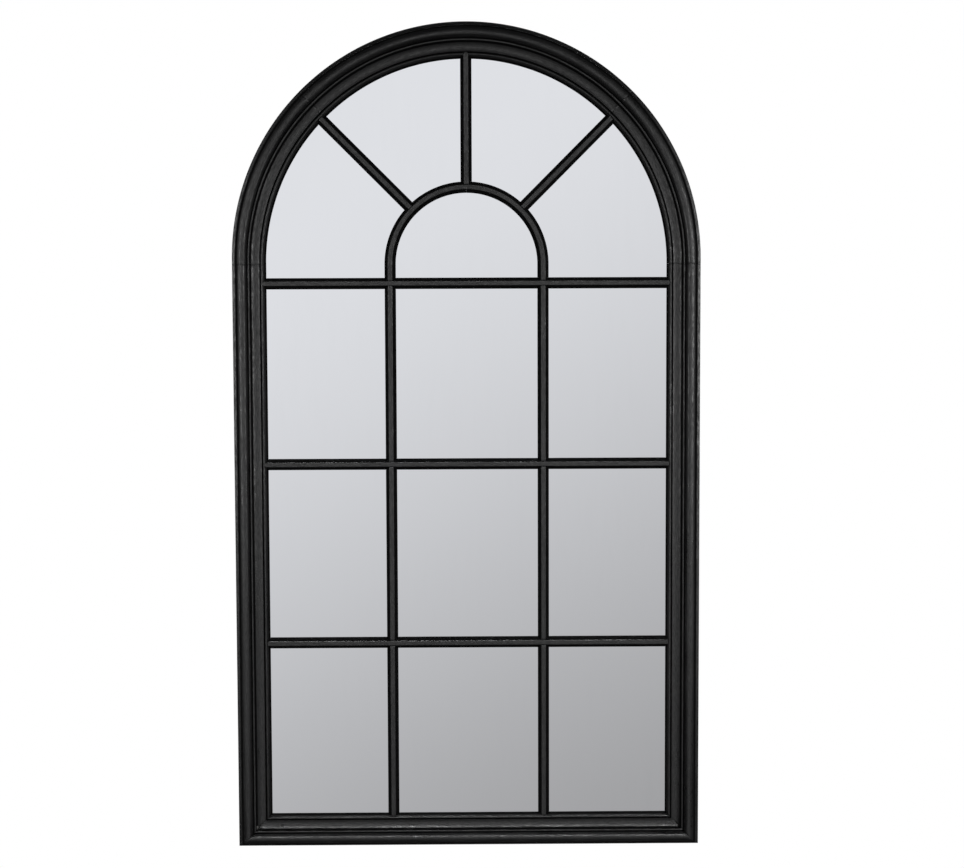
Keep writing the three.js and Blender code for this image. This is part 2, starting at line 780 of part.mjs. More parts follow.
// The D-ring, about its hinge line, hanging straight down.
function ringShape() {
  const wire = new THREE.Shape();
  wire.absarc(0, 0, ringWire, 0, 2 * Math.PI, false);
  const bow = new ArchRoute({
    centre: -ringLeg,
    radius: ringHalfWidth,
    from: 180,
    to: 360,
    leadIn: ringLeg,
    leadOut: ringLeg,
  });
  const options = { extrudePath: bow, steps: ringSteps, curveSegments: wireSides };
  const bar = new THREE.CylinderGeometry(ringWire, ringWire, 2 * ringHalfWidth, wireSides);
  const corner = new THREE.SphereGeometry(ringWire, wireSides, wireSides / 2);
  const solids = [
    toSolid(new THREE.ExtrudeGeometry(wire, options)),
    toSolid(bar.rotateZ(Math.PI / 2)),
    toSolid(corner.clone().translate(-ringHalfWidth, 0, 0)),
    toSolid(corner.translate(ringHalfWidth, 0, 0)),
  ];
  return toGeometry(join(solids));
}

const hangerPieces = [];
const screwBody = screwShape();
const strapBody = strapShape();
const ringBody = ringShape();
const bumperBody = bumperShape();

for (const [place, side] of [["left", -1], ["right", 1]]) {
  const x = side * (halfWidth - hangerInset);
  hangerPieces.push({
    name: `hanger_strap_${place}`,
    shape: strapBody,
    position: [x, 0, hangerHeight],
    material: zincSteel,
  });
  hangerPieces.push({
    name: `hanger_ring_${place}`,
    shape: ringBody,
    position: [x, hingeOffset, hangerHeight],
    tilt: ringRestAngle,
    material: zincSteel,
  });
  screwDrops.forEach((drop, index) => {
    const z = hangerHeight - drop;
    hangerPieces.push({
      name: `hanger_screw_${place}_${index === 0 ? "upper" : "lower"}`,
      shape: screwBody,
      position: [x, strapThickness, z],
      material: zincSteel,
    });
    const depth = screwLength - strapThickness + jointGap;
    const hole = cylinderAlongY(screwHole, 2 * depth).translate(x, 0, z);
    frame[`${place}_stile`] = frame[`${place}_stile`].subtract(toSolid(hole));
  });
  hangerPieces.push({
    name: `bumper_${place}`,
    shape: bumperBody,
    position: [side * (halfWidth - bumperInset), 0, bumperInset],
    material: blackRubber,
  });
}

// ---- Pockets for the fasteners ----

function placeMesh(mesh, position, turn = 0, tilt = 0) {
  mesh.position.set(...position);
  mesh.rotation.set(tilt, turn, 0);
  mesh.updateMatrix();
  return mesh;
}

for (const { pocket, position, turn, pieces } of fasteners) {
  const cutter = placeMesh(new THREE.Object3D(), position, turn);
  const solid = toSolid(pocket.clone().applyMatrix4(cutter.matrix));
  for (const piece of pieces) frame[piece] = frame[piece].subtract(solid);
}

// ---- The assembly ----

function addMesh(group, name, geometry, material) {
  const mesh = new THREE.Mesh(geometry, material);
  mesh.name = name;
  group.add(mesh);
  return mesh;
}

function addGroup(parent, name) {
  const group = new THREE.Group();
  group.name = name;
  parent.add(group);
  return group;
}

const mirror = new THREE.Group();
mirror.name = "arched_window_mirror";

const assembly = addGroup(mirror, "assembly");
assembly.position.z = -originHeight;

const frameGroup = addGroup(assembly, "frame_members");
for (const [name, solid] of Object.entries(frame)) {
  addMesh(frameGroup, name, toGeometry(solid), blackPaint);
}

const glassGroup = addGroup(assembly, "glass_and_board");
addMesh(glassGroup, "mirror_plate", mirrorPlate, mirrorSilver);
addMesh(glassGroup, "backing_board", backingBoard, hardboard);

const barGroup = addGroup(assembly, "glazing_bars");
for (const [name, solid] of Object.entries(bars)) {
  addMesh(barGroup, name, toGeometry(solid), blackPaint);
}

const fastenerGroup = addGroup(assembly, "fasteners");
for (const { name, shape, position, turn, material } of fasteners) {
  placeMesh(addMesh(fastenerGroup, name, shape, material), position, turn);
}

const hangerGroup = addGroup(assembly, "hangers");
for (const { name, shape, position, tilt, material } of hangerPieces) {
  placeMesh(addMesh(hangerGroup, name, shape, material), position, 0, tilt);
}

export default mirror;
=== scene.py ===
"""Dresses the packed arched window mirror: painted wood, silvered glass, board and steel fittings.

Metres. +X is the viewer's right, +Y goes into the wall, +Z is up.
"""

import math

import bmesh
import bpy
from bpy.props import FloatProperty, FloatVectorProperty, IntProperty, PointerProperty
from mathutils import Matrix, Vector
from mathutils.kdtree import KDTree


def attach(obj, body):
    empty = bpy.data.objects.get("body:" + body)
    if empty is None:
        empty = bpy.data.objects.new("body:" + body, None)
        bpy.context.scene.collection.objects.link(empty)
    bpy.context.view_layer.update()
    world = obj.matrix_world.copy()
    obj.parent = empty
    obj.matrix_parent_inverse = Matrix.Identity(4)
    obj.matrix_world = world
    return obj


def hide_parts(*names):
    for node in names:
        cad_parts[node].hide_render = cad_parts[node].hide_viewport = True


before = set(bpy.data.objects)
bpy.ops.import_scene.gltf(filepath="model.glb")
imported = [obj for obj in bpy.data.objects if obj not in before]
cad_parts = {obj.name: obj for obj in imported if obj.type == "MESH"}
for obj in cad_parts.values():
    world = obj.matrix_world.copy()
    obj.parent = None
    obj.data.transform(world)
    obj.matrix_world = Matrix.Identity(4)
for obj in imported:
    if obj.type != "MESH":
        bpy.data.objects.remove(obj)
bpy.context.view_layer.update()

bl_info = {
    "name": "Arched window mirror",
    "version": (1, 0, 0),
    "blender": (4, 5, 0),
    "location": "3D View > Sidebar > Mirror",
    "description": "Makes the painted, glazed and hung pieces of an arched window mirror",
    "category": "Add Mesh",
}

MM = 0.001
FRONT = Vector((0, -1, 0))
BODY = "mirror"


# ---- Sizes, colours and stage settings ----


def length(name, millimetres, description):
    """A length setting, given in millimetres and kept in metres."""
    return FloatProperty(
        name=name,
        description=description,
        default=millimetres * MM,
        precision=5,
        subtype="DISTANCE",
        unit="LENGTH",
    )


def tone(name, rgb, description):
    """A colour setting with linear red, green and blue."""
    return FloatVectorProperty(
        name=name, description=description, default=rgb, size=3, min=0, max=1, subtype="COLOR"
    )


def turn(name, degrees, description):
    """An angle setting, given in degrees and kept in radians."""
    return FloatProperty(
        name=name,
        description=description,
        default=math.radians(degrees),
        subtype="ANGLE",
        unit="ROTATION",
    )


def share(name, default, description, most=1.0):
    """A plain number setting that starts at nought."""
    return FloatProperty(name=name, description=description, default=default, min=0, max=most)


class MirrorSizes(bpy.types.PropertyGroup):
    """The whole mirror and the places of its pieces"""

    overall_width: length("Overall width", 790, "Width of the frame")
    overall_height: length("Overall height", 1400, "Height of the frame")
    origin_height: length("Origin height", 25, "Height of the origin above the foot of the frame")
    arch_leg: length("Arch leg", 9, "Straight run of the arch above the stiles")
    joint_gap: length("Joint gap", 0.3, "Gap between pieces that meet on a cut face")
    glass_front: length("Glass front", 16, "Front of the glass above the back of the frame")
    row_step: length("Row step", 4, "Distance between two rows of a swept piece")
    joint_round: length("Joint round", 0.12, "Rounding of a painted edge at a joint")
    joint_line: length("Joint line", 0.06, "Gap that the paint leaves in a glued joint")
    open_joint_line: length("Open joint line", 0.22, "Gap at the top of the right stile")


class MouldingSizes(bpy.types.PropertyGroup):
    """The frame moulding, from its outer edge to the glass"""

    lip_width: length("Lip width", 6.8, "Flat beside the outer edge")
    lip_height: length("Lip height", 12, "Height of that flat")
    lip_fall: length("Lip fall", 2.2, "Fall of the flat towards the outer edge")
    crown_fullness: length("Crown fullness", 4.2, "Extra width of the moulding at the crown")
    torus_outer_width: length("Round, outer width", 12.9, "Outer edge of the big round to its crest")
    torus_inner_width: length("Round, inner width", 8.0, "Crest of the big round to the quirk")
    torus_spring_height: length("Round, spring height", 24, "Height where the big round starts")
    crest_height: length("Crest height", 38, "Highest line of the moulding")
    quirk_height: length("Quirk height", 29, "Floor of the quirk beside the bead")
    bead_width: length("Bead width", 4.6, "Width of the upper bead")
    bead_height: length("Bead height", 31.2, "Height of the upper bead")
    cove_fall_width: length("Cove fall width", 10.5, "Bead to the lowest line of the cove")
    cove_rise_width: length("Cove rise width", 4.8, "Lowest line of the cove to the groove")
    cove_radius: length("Cove radius", 14, "Radius of the cove")
    cove_height: length("Cove height", 21.3, "Lowest line of the cove")
    groove_width: length("Groove width", 1.9, "Width of the groove")
    groove_depth: length("Groove depth", 2.2, "Depth of the groove")
    groove_flank: length("Groove flank", 0.9, "Sloping side of the groove")
    inner_bead_width: length("Inner bead width", 4.8, "Width of the inner bead")
    inner_bead_height: length("Inner bead height", 25, "Height of the inner bead")
    sight_slope_width: length("Sight slope width", 4.2, "Slope down to the glass")
    sight_edge: length("Sight edge", 2, "Wood in front of the glass")
    rebate_width: length("Rebate width", 8.5, "Wood that reaches over the glass")
    arris: length("Arris", 0.45, "Softening of the painted corners")
    ripple: length("Ripple", 0.2, "Unevenness left by hand sanding")
    ripple_length: length("Ripple length", 60, "Length of one wave of it")


class BarSizes(bpy.types.PropertyGroup):
    """The glazing bars"""

    bar_width: length("Bar width", 19, "Width on the glass")
    bar_height: length("Bar height", 10, "Height above the glass")
    edge_height: length("Edge height", 1.2, "Upright edge on the glass")
    shoulder_width: length("Shoulder width", 14.8, "Width across the shoulders")
    shoulder_height: length("Shoulder height", 4.8, "Height of the shoulders")
    shoulder_rise: length("Shoulder rise", 0.9, "Rise of a shoulder to the nosing")
    nosing_width: length("Nosing width", 8.2, "Width of the nosing")
    nosing_round: length("Nosing round", 1.2, "Rounding of the nosing")
    pane_pitch: length("Pane pitch", 305, "Middle to middle of the horizontal bars")
    top_bar_drop: length("Top bar drop", 32, "Top bar below the centre of the inner arch")
    upright_spacing: length("Upright spacing", 257, "Middle to middle of the upright bars")
    radial_turn: turn("Radial turn", 45, "Angle between two radial bars")
    bar_seat: length("Bar seat", 4.3, "How far a butted end reaches over the sight slope")
    tongue_embed: length("Tongue embed", 6, "How far a housed end reaches past the sight edge")
    tongue_clearance: length("Tongue clearance", 0.5, "Gap round a housed end")
    arris: length("Arris", 0.3, "Softening of the painted corners")
    ripple: length("Ripple", 0.12, "Unevenness left by hand sanding")
    ripple_length: length("Ripple length", 30, "Length of one wave of it")
    end_round: length("End round", 0.45, "Rounding of the bar ends")


class HangerSizes(bpy.types.PropertyGroup):
    """The fittings on the back"""

    hinge_offset: length("Hinge offset", 3, "Hinge line behind the frame")
    hinge_height: length("Hinge height", 940, "Hinge line above the foot of the frame")
    hanger_inset: length("Hanger inset", 25, "Middle of a strap from the outer edge")
    ring_wire: length("Ring wire", 1.5, "Radius of the ring's wire")
    ring_half_width: length("Ring half width", 12, "Middle of the ring to the middle of its wire")
    ring_leg: length("Ring leg", 8, "Straight side of the ring")
    ring_corner: length("Ring corner", 1.6, "Bend beside the hinge bar")
    ring_tilt: turn("Ring tilt", 3.44, "How far the ring leans off the frame at rest")
    strap_thickness: length("Strap thickness", 2.4, "Both layers of the strap")
    screw_radius: length("Screw radius", 1.75, "Radius of the shank")
    screw_length: length("Screw length", 18, "Length under the head")
    screw_head_radius: length("Screw head radius", 4, "Radius of the head")
    screw_head_height: length("Screw head height", 2.2, "Height of the head")
    recess_width: length("Recess width", 1.1, "Width of each slot of the cross recess")
    recess_depth: length("Recess depth", 1.3, "Depth of the cross recess")
    upper_screw_drop: length("Upper screw drop", 27, "Upper screw below the hinge line")
    lower_screw_drop: length("Lower screw drop", 43, "Lower screw below the hinge line")
    bumper_radius: length("Bumper radius", 6, "Radius of a bumper")
    bumper_height: length("Bumper height", 6, "Height of a bumper")
    bumper_inset: length("Bumper inset", 22, "Bumper from both outer edges")
    point_width: length("Point width", 8, "Width of a glazing point")
    point_length: length("Point length", 15, "Length of a glazing point")
    point_tip: length("Point tip", 3, "Tapered part of its tip")
    point_thickness: length("Point thickness", 0.6, "Sheet of the glazing point")
    point_grip: length("Point grip", 7, "Length driven into the wood")
    board_recess: length("Board recess", 9, "Board below the back of the frame")


class Finishes(bpy.types.PropertyGroup):
    """Colours and surface of the pieces"""

    # Paint, dark also serves at half as painted shade in the hollows, and at three tenths in the dents.
    paint_dark_and_shade: tone("Paint, dark", (0.0022, 0.0022, 0.0024), "Paint in the grain lines")
    paint_light: tone("Paint, light", (0.0085, 0.0085, 0.0088), "Paint on the rubbed ridges")
    filler: tone("Filler", (0.150, 0.148, 0.145), "Painted filler in the corner joint")
    paint_roughness: share("Paint roughness", 0.34, "Roughness of the satin paint")
    grain_depth: length("Grain depth", 0.10, "Depth of the grain under the paint")
    silver: tone("Silver", (0.915, 0.922, 0.936), "Tone of the silvered glass")
    hardboard: tone("Hardboard", (0.245, 0.135, 0.062), "Backing board")
    hardboard_fibre: tone("Hardboard fibre", (0.125, 0.062, 0.026), "Fibres in the board")
    beech: tone("Beech", (0.58, 0.38, 0.20), "Dowels")
    beech_ray: tone("Beech flecks", (0.36, 0.20, 0.09), "Flecks in the dowels")
    zinc: tone("Zinc", (0.56, 0.57, 0.58), "Plated steel")
    zinc_stain: tone("Zinc stain", (0.33, 0.33, 0.32), "Dull patches of the plating")
    rubber: tone("Rubber", (0.014, 0.014, 0.014), "Bumpers")


class StageSettings(bpy.types.PropertyGroup):
    """Camera, lamps, floor and surroundings"""

    camera_x: length("Camera x", -5.2, "Camera to the right of the middle")
    camera_distance: length("Camera distance", 3232.4, "Camera in front of the wall")
    camera_height: length("Camera height", 921.6, "Camera above the origin")
    camera_yaw: turn("Camera yaw", 0.537, "Turn to the right")
    camera_pitch: turn("Camera pitch", 4.216, "Tilt downwards")
    camera_roll: turn("Camera roll", -0.203, "Tilt to the side")
    lens: FloatProperty(name="Lens", description="Focal length in millimetres", default=71.167)
    left_power: share("Left lamp", 22.0, "Power of the left softbox in watts", 5000)
    right_power: share("Right lamp", 30.0, "Power of the right softbox in watts", 5000)
    top_power: share("Top lamp", 3.8, "Power of the gridded softbox above in watts", 5000)
    back_power: share("Back lamp", 60.0, "Power of the softbox behind in watts", 5000)
    fill: share("Fill", 0.15, "Plain light from all round", 10)
    floor_drop: length("Floor drop", 450, "Floor below the foot of the frame")
    floor_radius: length("Floor radius", 1200, "Radius of the floor")
    floor_tone: tone("Floor", (0.80, 0.80, 0.80), "Colour of the floor")
    above_tone: tone(
        "Surroundings above", (0.800, 0.808, 0.832), "What the glass shows above the eye line"
    )
    below_tone: tone(
        "Surroundings below", (0.350, 0.348, 0.352), "What the glass shows below the eye line"
    )
    eye_line_tone: tone(
        "Eye line", (1.0, 1.0, 1.0), "Band of light that the paint shows at the eye line"
    )
    eye_line_light: share("Eye line light", 1.75, "Brightness of that band", 10)
    light_seed: IntProperty(name="Seed", description="Seed of the uneven surfaces", default=7, min=0)


SETTING_GROUPS = {
    "mirror_sizes": MirrorSizes,
    "mirror_moulding": MouldingSizes,
    "mirror_bars": BarSizes,
    "mirror_hangers": HangerSizes,
    "mirror_finishes": Finishes,
    "mirror_stage": StageSettings,
}


def settings(name):
    """One group of settings of the open scene."""
    return getattr(bpy.context.scene, name)


# ---- Node trees ----


class Value:
    """A value in a node tree; arithmetic on it adds Math nodes."""

    def __init__(self, graph, socket):
        self.graph = graph
        self.socket = socket

    def __add__(self, other):
        return self.graph.math("ADD", self, other)

    def __sub__(self, other):
        return self.graph.math("SUBTRACT", self, other)

    def __rsub__(self, other):
        return self.graph.math("SUBTRACT", other, self)

    def __mul__(self, other):
        return self.graph.math("MULTIPLY", self, other)

    def __truediv__(self, other):
        return self.graph.math("DIVIDE", self, other)


class Graph:
    """Adds nodes to a tree; a Value is linked to a socket, and anything else is set on it."""

    def __init__(self, tree):
        self.tree = tree

    def feed(self, node, feeds):
        for key, value in feeds.items():
            if isinstance(value, Value):
                self.tree.links.new(value.socket, node.inputs[key])
            else:
                node.inputs[key].default_value = value

    def add(self, kind, feeds=None, **options):
        node = self.tree.nodes.new(kind)
        for option, value in options.items():
            setattr(node, option, value)
        self.feed(node, feeds or {})
        return node

    def value(self, kind, feeds=None, output=0, **options):
        """One output of a new node."""
        return Value(self, self.add(kind, feeds, **options).outputs[output])

    def geometry(self, kind, feeds=None, output=0, **options):
        """One output of a new geometry node."""
        return self.value(f"GeometryNode{kind}", feeds, output, **options)

    def math(self, operation, *values, clamp=False):
        feeds = dict(enumerate(values))
        return self.value("ShaderNodeMath", feeds, operation=operation, use_clamp=clamp)

    def vector(self, operation, *values, scale=None):
        feeds = dict(enumerate(values))
        if scale is not None:
            feeds["Scale"] = scale
        output = "Value" if operation in {"LENGTH", "DISTANCE"} else "Vector"
        return self.value("ShaderNodeVectorMath", feeds, output, operation=operation)

    def combine(self, x, y, z):
        return self.value("ShaderNodeCombineXYZ", {0: x, 1: y, 2: z})

    def split(self, vector):
        outputs = self.add("ShaderNodeSeparateXYZ", {0: vector}).outputs
        return [Value(self, socket) for socket in outputs]

    def noise(self, vector, scale, detail=2.0, roughness=0.5, output=0):
        feeds = {"Vector": vector, "Scale": scale, "Detail": detail, "Roughness": roughness}
        return self.value("ShaderNodeTexNoise", feeds, output)

    def spread(self, value, low, high, to_low=0.0, to_high=1.0, smooth=True):
        feeds = {"Value": value, "From Min": low, "From Max": high}
        feeds |= {"To Min": to_low, "To Max": to_high}
        kind = "SMOOTHSTEP" if smooth else "LINEAR"
        return self.value("ShaderNodeMapRange", feeds, interpolation_type=kind)

    def mix(self, share_of_second, first, second):
        feeds = {0: share_of_second, 6: first, 7: second}
        return self.value("ShaderNodeMix", feeds, 2, data_type="RGBA")


def rgba(colour, scale=1.0):
    """A colour setting as the four numbers of a colour socket."""
    return (*(part * scale for part in colour), 1.0)


def grey(level):
    """A plain grey as the four numbers of a colour socket."""
    return (level, level, level, 1.0)


# ---- Materials ----


def new_material(name):
    """An empty node material with its graph, its surface shader and its place on the object."""
    material = bpy.data.materials.new(name)
    material.use_nodes = True
    material.node_tree.nodes.clear()
    graph = Graph(material.node_tree)
    surface = graph.add("ShaderNodeBsdfPrincipled")
    graph.add("ShaderNodeOutputMaterial", {"Surface": Value(graph, surface.outputs[0])})
    place = graph.value("ShaderNodeTexCoord", output="Object")
    return material, graph, surface, place


def bumped(graph, height, depth, under=None):
    """A normal that follows a height between 0 and 1, over another such normal."""
    feeds = {"Strength": 1.0, "Distance": depth, "Height": height}
    if under is not None:
        feeds["Normal"] = under
    return graph.value("ShaderNodeBump", feeds)


def near(graph, place, centre, radius):
    """1 at a point of the piece, falling to 0 at a radius from it."""
    distance = graph.vector("DISTANCE", place, tuple(centre))
    return graph.spread(distance, radius * 0.35, radius, 1.0, 0.0)


def hollow_shade_mask(graph, run, recesses, low):
    """1 in the narrow hollows of a section, where the paint is made matt and painted darker as shade.

    recesses are (distance from the outer edge, half width) on the front, and what lies under the
    height low counts too.
    """
    _, across, height = graph.split(run)
    depth = graph.spread(height, low, low + 0.7 * MM, 1.0, 0.0)
    in_front = graph.spread(height, low + 1.5 * MM, low + 3.0 * MM)
    for centre, half in recesses:
        distance = graph.math("ABSOLUTE", across - centre)
        recess = graph.spread(distance, half * 0.45, half, 1.0, 0.0) * in_front
        depth = graph.math("MAXIMUM", depth, recess)
    return depth


def paint(name, grain, low, recesses=(), marks=(), lumps=()):
    """Satin black paint over wood grain that runs along a swept piece.

    low and recesses say where the section's hollows are; these get painted shade. marks are small
    dents, painted darker as shade, and lumps are raised ones, each a centre and a radius in metres.
    """
    finish = settings("mirror_finishes")
    material, graph, surface, place = new_material(name)
    run = graph.value("ShaderNodeAttribute", output="Vector", attribute_name="run")

    def drawn_out(along, across, detail, roughness):
        """Noise with so many waves in a metre along the run, and so many across it."""
        waves = graph.vector("MULTIPLY", run, (along, across, across))
        return graph.noise(waves, 1.0, detail, roughness)

    streaks = drawn_out(22.0 * grain, 900.0, 4.0, 0.62)
    pores = drawn_out(130.0 * grain, 2600.0, 2.0, 0.5)
    brushed = drawn_out(75.0 * grain, 430.0, 3.0, 0.6)
    worn = drawn_out(95.0 * grain, 560.0, 3.0, 0.65)
    chatter = drawn_out(230.0, 170.0, 2.0, 0.5)
    blotches = graph.noise(place, 14.0, 3.0, 0.55)
    skin = graph.noise(place, 620.0, 2.0, 0.5)
    dust = graph.noise(place, 1500.0, 1.0, 0.5)

    # The rubbed ridges are paler, the pores are black, and a few specks of dust are caught.
    rubbed = graph.spread(streaks, 0.36, 0.66) * graph.spread(blotches, 0.30, 0.72, 0.35, 1.0)
    open_pores = graph.spread(pores, 0.30, 0.44, 1.0, 0.0)
    tint = graph.math("SUBTRACT", rubbed, open_pores * 0.6, clamp=True)
    colour = graph.mix(tint, rgba(finish.paint_dark_and_shade), rgba(finish.paint_light))
    specks = graph.spread(dust, 0.70, 0.80) * 0.35
    colour = graph.mix(specks, colour, rgba(finish.paint_light, 2.2))

    # Worn patches are duller. The hollows are rougher, and as painted shade they are darkened and their
    # sheen is cut.
    middle = finish.paint_roughness
    rough = graph.spread(blotches, 0.25, 0.75, middle - 0.07, middle + 0.09) + open_pores * 0.12
    rough = rough + graph.spread(worn, 0.34, 0.68, 0.16, -0.06)
    hollow_shade = hollow_shade_mask(graph, run, recesses, low)
    colour = graph.mix(hollow_shade, colour, rgba(finish.paint_dark_and_shade, 0.5))
    rough = rough + hollow_shade * 0.3
    sheen = graph.spread(worn, 0.32, 0.70, 0.40, 0.60) * (1.0 - hollow_shade * 0.88)

    normal = None
    relief = ((streaks, 1.5), (open_pores, -0.4), (brushed, 1.7), (chatter, 0.55), (skin, 0.4))
    for height, part in relief:
        normal = bumped(graph, height, part * finish.grain_depth, normal)
    # Each mark is dented, and painted darker there as painted shade.
    for centre, radius in marks:
        hole = near(graph, place, centre, radius)
        colour = graph.mix(hole * 0.8, colour, rgba(finish.paint_dark_and_shade, 0.3))
        normal = bumped(graph, hole, -0.5 * radius, normal)
    for centre, radius in lumps:
        wobble = graph.noise(place, 320.0, output="Color")
        spot = graph.vector("ADD", place, graph.vector("SCALE", wobble, scale=radius))
        blob = near(graph, spot, Vector(centre) + Vector((radius, radius, radius)) * 0.5, radius)
        colour = graph.mix(blob * 0.8, colour, rgba(finish.filler))
        normal = bumped(graph, blob, 0.4 * radius, normal)

    looks = {"Base Color": colour, "Roughness": rough, "Specular IOR Level": sheen, "Normal": normal}
    graph.feed(surface, looks)
    return material


def silvered_glass():
    """Silvered glass with a faint haze of wiping marks."""
    finish = settings("mirror_finishes")
    material, graph, surface, place = new_material("silvered_glass")
    cloud = graph.noise(place, 5.0, 3.0, 0.5)
    wipes = graph.noise(graph.vector("MULTIPLY", place, (60.0, 1.0, 9.0)), 1.0, 3.0, 0.6)
    haze = graph.spread(cloud, 0.35, 0.75) * graph.spread(wipes, 0.35, 0.75)
    colour = graph.mix(haze, rgba(finish.silver), rgba(finish.silver, 0.988))
    graph.feed(surface, {"Base Color": colour, "Roughness": 0.0, "Metallic": 1.0})
    return material


def pressed_board():
    """Hardboard: matted brown fibres and the print of the press screen."""
    finish = settings("mirror_finishes")
    material, graph, surface, place = new_material("pressed_hardboard")
    warp = graph.vector("SCALE", graph.noise(place, 70.0, output="Color"), scale=0.012)
    fibres = graph.noise(graph.vector("ADD", place, warp), 420.0, 4.0, 0.7)
    patches = graph.noise(place, 6.0, 3.0, 0.5)
    x, _, z = graph.split(place)
    wires = 3600.0  # radians of the screen's wave in a metre
    screen = graph.math("SINE", x * wires) * graph.math("SINE", z * wires)
    screen = graph.spread(screen, -1.0, 1.0, smooth=False)
    tint = graph.spread(fibres, 0.35, 0.7) * graph.spread(patches, 0.2, 0.8, 0.6, 1.0)
    colour = graph.mix(tint, rgba(finish.hardboard_fibre), rgba(finish.hardboard))
    rough = graph.spread(fibres, 0.3, 0.7, 0.70, 0.92)
    normal = bumped(graph, screen, 0.10 * MM, bumped(graph, fibres, 0.12 * MM))
    graph.feed(surface, {"Base Color": colour, "Roughness": rough, "Normal": normal})
    return material


def turned_beech():
    """Beech with its short flecks along the dowel."""
    finish = settings("mirror_finishes")
    material, graph, surface, place = new_material("turned_beech")
    flecks = graph.noise(graph.vector("MULTIPLY", place, (900.0, 900.0, 160.0)), 1.0, 3.0, 0.6)
    colour = graph.mix(graph.spread(flecks, 0.35, 0.62), rgba(finish.beech_ray), rgba(finish.beech))
    rough = graph.spread(flecks, 0.3, 0.7, 0.55, 0.75)
    normal = bumped(graph, flecks, 0.08 * MM)
    graph.feed(surface, {"Base Color": colour, "Roughness": rough, "Normal": normal})
    return material


def zinc_plate():
    """Zinc plate: fine drawing lines, small spangles and dull patches."""
    finish = settings("mirror_finishes")
    material, graph, surface, place = new_material("zinc_plated_steel")
    drawn = graph.noise(graph.vector("MULTIPLY", place, (2400.0, 2400.0, 120.0)), 1.0, 2.0, 0.5)
    stain = graph.spread(graph.noise(place, 240.0, 4.0, 0.6), 0.42, 0.75)
    colour = graph.mix(stain, rgba(finish.zinc), rgba(finish.zinc_stain))
    rough = graph.spread(drawn, 0.3, 0.7, 0.24, 0.36) + stain * 0.16
    normal = bumped(graph, drawn, 0.02 * MM)
    looks = {"Base Color": colour, "Roughness": rough, "Normal": normal, "Metallic": 1.0}
    graph.feed(surface, looks)
    return material


def moulded_rubber():
    """Matt black rubber with a dusty bloom."""
    finish = settings("mirror_finishes")
    material, graph, surface, place = new_material("moulded_rubber")
    bloom = graph.noise(place, 500.0, 3.0, 0.6)
    colour = graph.mix(graph.spread(bloom, 0.4, 0.8), rgba(finish.rubber), rgba(finish.rubber, 2.4))
    rough = graph.spread(bloom, 0.3, 0.7, 0.72, 0.9)
    normal = bumped(graph, bloom, 0.08 * MM)
    graph.feed(surface, {"Base Color": colour, "Roughness": rough, "Normal": normal})
    return material


# ---- Sections ----


def arc_points(centre_x, centre_y, radius_x, radius_y, start, stop, count):
    """Points of an elliptical arc, from one angle in degrees to another."""
    angles = [math.radians(start + (stop - start) * step / count) for step in range(count + 1)]
    return [(centre_x + radius_x * math.cos(a), centre_y + radius_y * math.sin(a)) for a in angles]


def moulding_outline(m, glass_front):
    """The frame moulding as (distance from the outer edge, height above the back)."""
    torus_centre = m.lip_width + m.torus_outer_width
    torus_rise = m.crest_height - m.torus_spring_height
    quirk_angle = math.asin((m.quirk_height - m.torus_spring_height) / torus_rise)
    inner_round = m.torus_inner_width / math.cos(quirk_angle)
    quirk = torus_centre + m.torus_inner_width
    cove = quirk + m.bead_width
    cove_line = cove + m.cove_fall_width
    groove = cove_line + m.cove_rise_width
    inner_bead = groove + m.groove_width
    slope = inner_bead + m.inner_bead_width
    width = slope + m.sight_slope_width
    bead_half, inner_half = m.bead_width / 2, m.inner_bead_width / 2
    cove_from = 180 + math.degrees(math.acos(m.cove_fall_width / m.cove_radius))
    cove_to = 270 + math.degrees(math.asin(m.cove_rise_width / m.cove_radius))
    cove_rise = m.cove_height + m.cove_radius * (1 + math.sin(math.radians(cove_to)))
    floor = cove_rise - m.groove_depth
    spring, to_quirk = m.torus_spring_height, math.degrees(quirk_angle)
    bead_rise, last_rise = m.bead_height - m.quirk_height, m.inner_bead_height - cove_rise
    cove_y, cove_r = m.cove_height + m.cove_radius, m.cove_radius
    outer = (torus_centre, spring, m.torus_outer_width, torus_rise, 180, 90, 22)
    inner = (torus_centre, spring, inner_round, torus_rise, 90, to_quirk, 14)
    bead = (quirk + bead_half, m.quirk_height, bead_half, bead_rise, 165, 0, 12)
    hollow_arc = (cove_line, cove_y, cove_r, cove_r, cove_from, cove_to, 18)
    last = (inner_bead + inner_half, cove_rise, inner_half, last_rise, 180, 15, 12)
    return [
        (0, 0),
        (0, m.lip_height - m.lip_fall),
        (m.lip_width, m.lip_height),
        *arc_points(*outer),
        *arc_points(*inner)[1:],
        *arc_points(*bead),
        *arc_points(*hollow_arc),
        (groove + m.groove_flank, floor),
        (inner_bead - m.groove_flank, floor),
        *arc_points(*last),
        (width, glass_front + m.sight_edge),
        (width, glass_front),
        (width - m.rebate_width, glass_front),
        (width - m.rebate_width, 0),
    ]


def moulding_width(m):
    """Outer edge to sight edge."""
    widths = (m.lip_width, m.torus_outer_width, m.torus_inner_width, m.bead_width, m.cove_fall_width)
    return sum(widths) + m.cove_rise_width + m.groove_width + m.inner_bead_width + m.sight_slope_width


def bar_half_outline(b, glass_front):
    """Half of a glazing bar as (height above the back, distance from the middle line)."""
    shoulder = glass_front + b.shoulder_height
    crest = glass_front + b.bar_height
    nosing = b.nosing_width / 2
    edge = b.nosing_round
    round_arc = arc_points(crest - edge, nosing - edge, edge, edge, 90, 0, 5)
    return [
        (glass_front, b.bar_width / 2),
        (glass_front + b.edge_height, b.bar_width / 2),
        (shoulder, b.shoulder_width / 2),
        (shoulder + b.shoulder_rise, nosing),
        *round_arc,
    ]


def bar_outline(b, glass_front):
    """A whole glazing bar as (distance from the middle line, height above the back)."""
    right = [(side, height) for height, side in bar_half_outline(b, glass_front)]
    return right + [(-side, height) for side, height in reversed(right)]


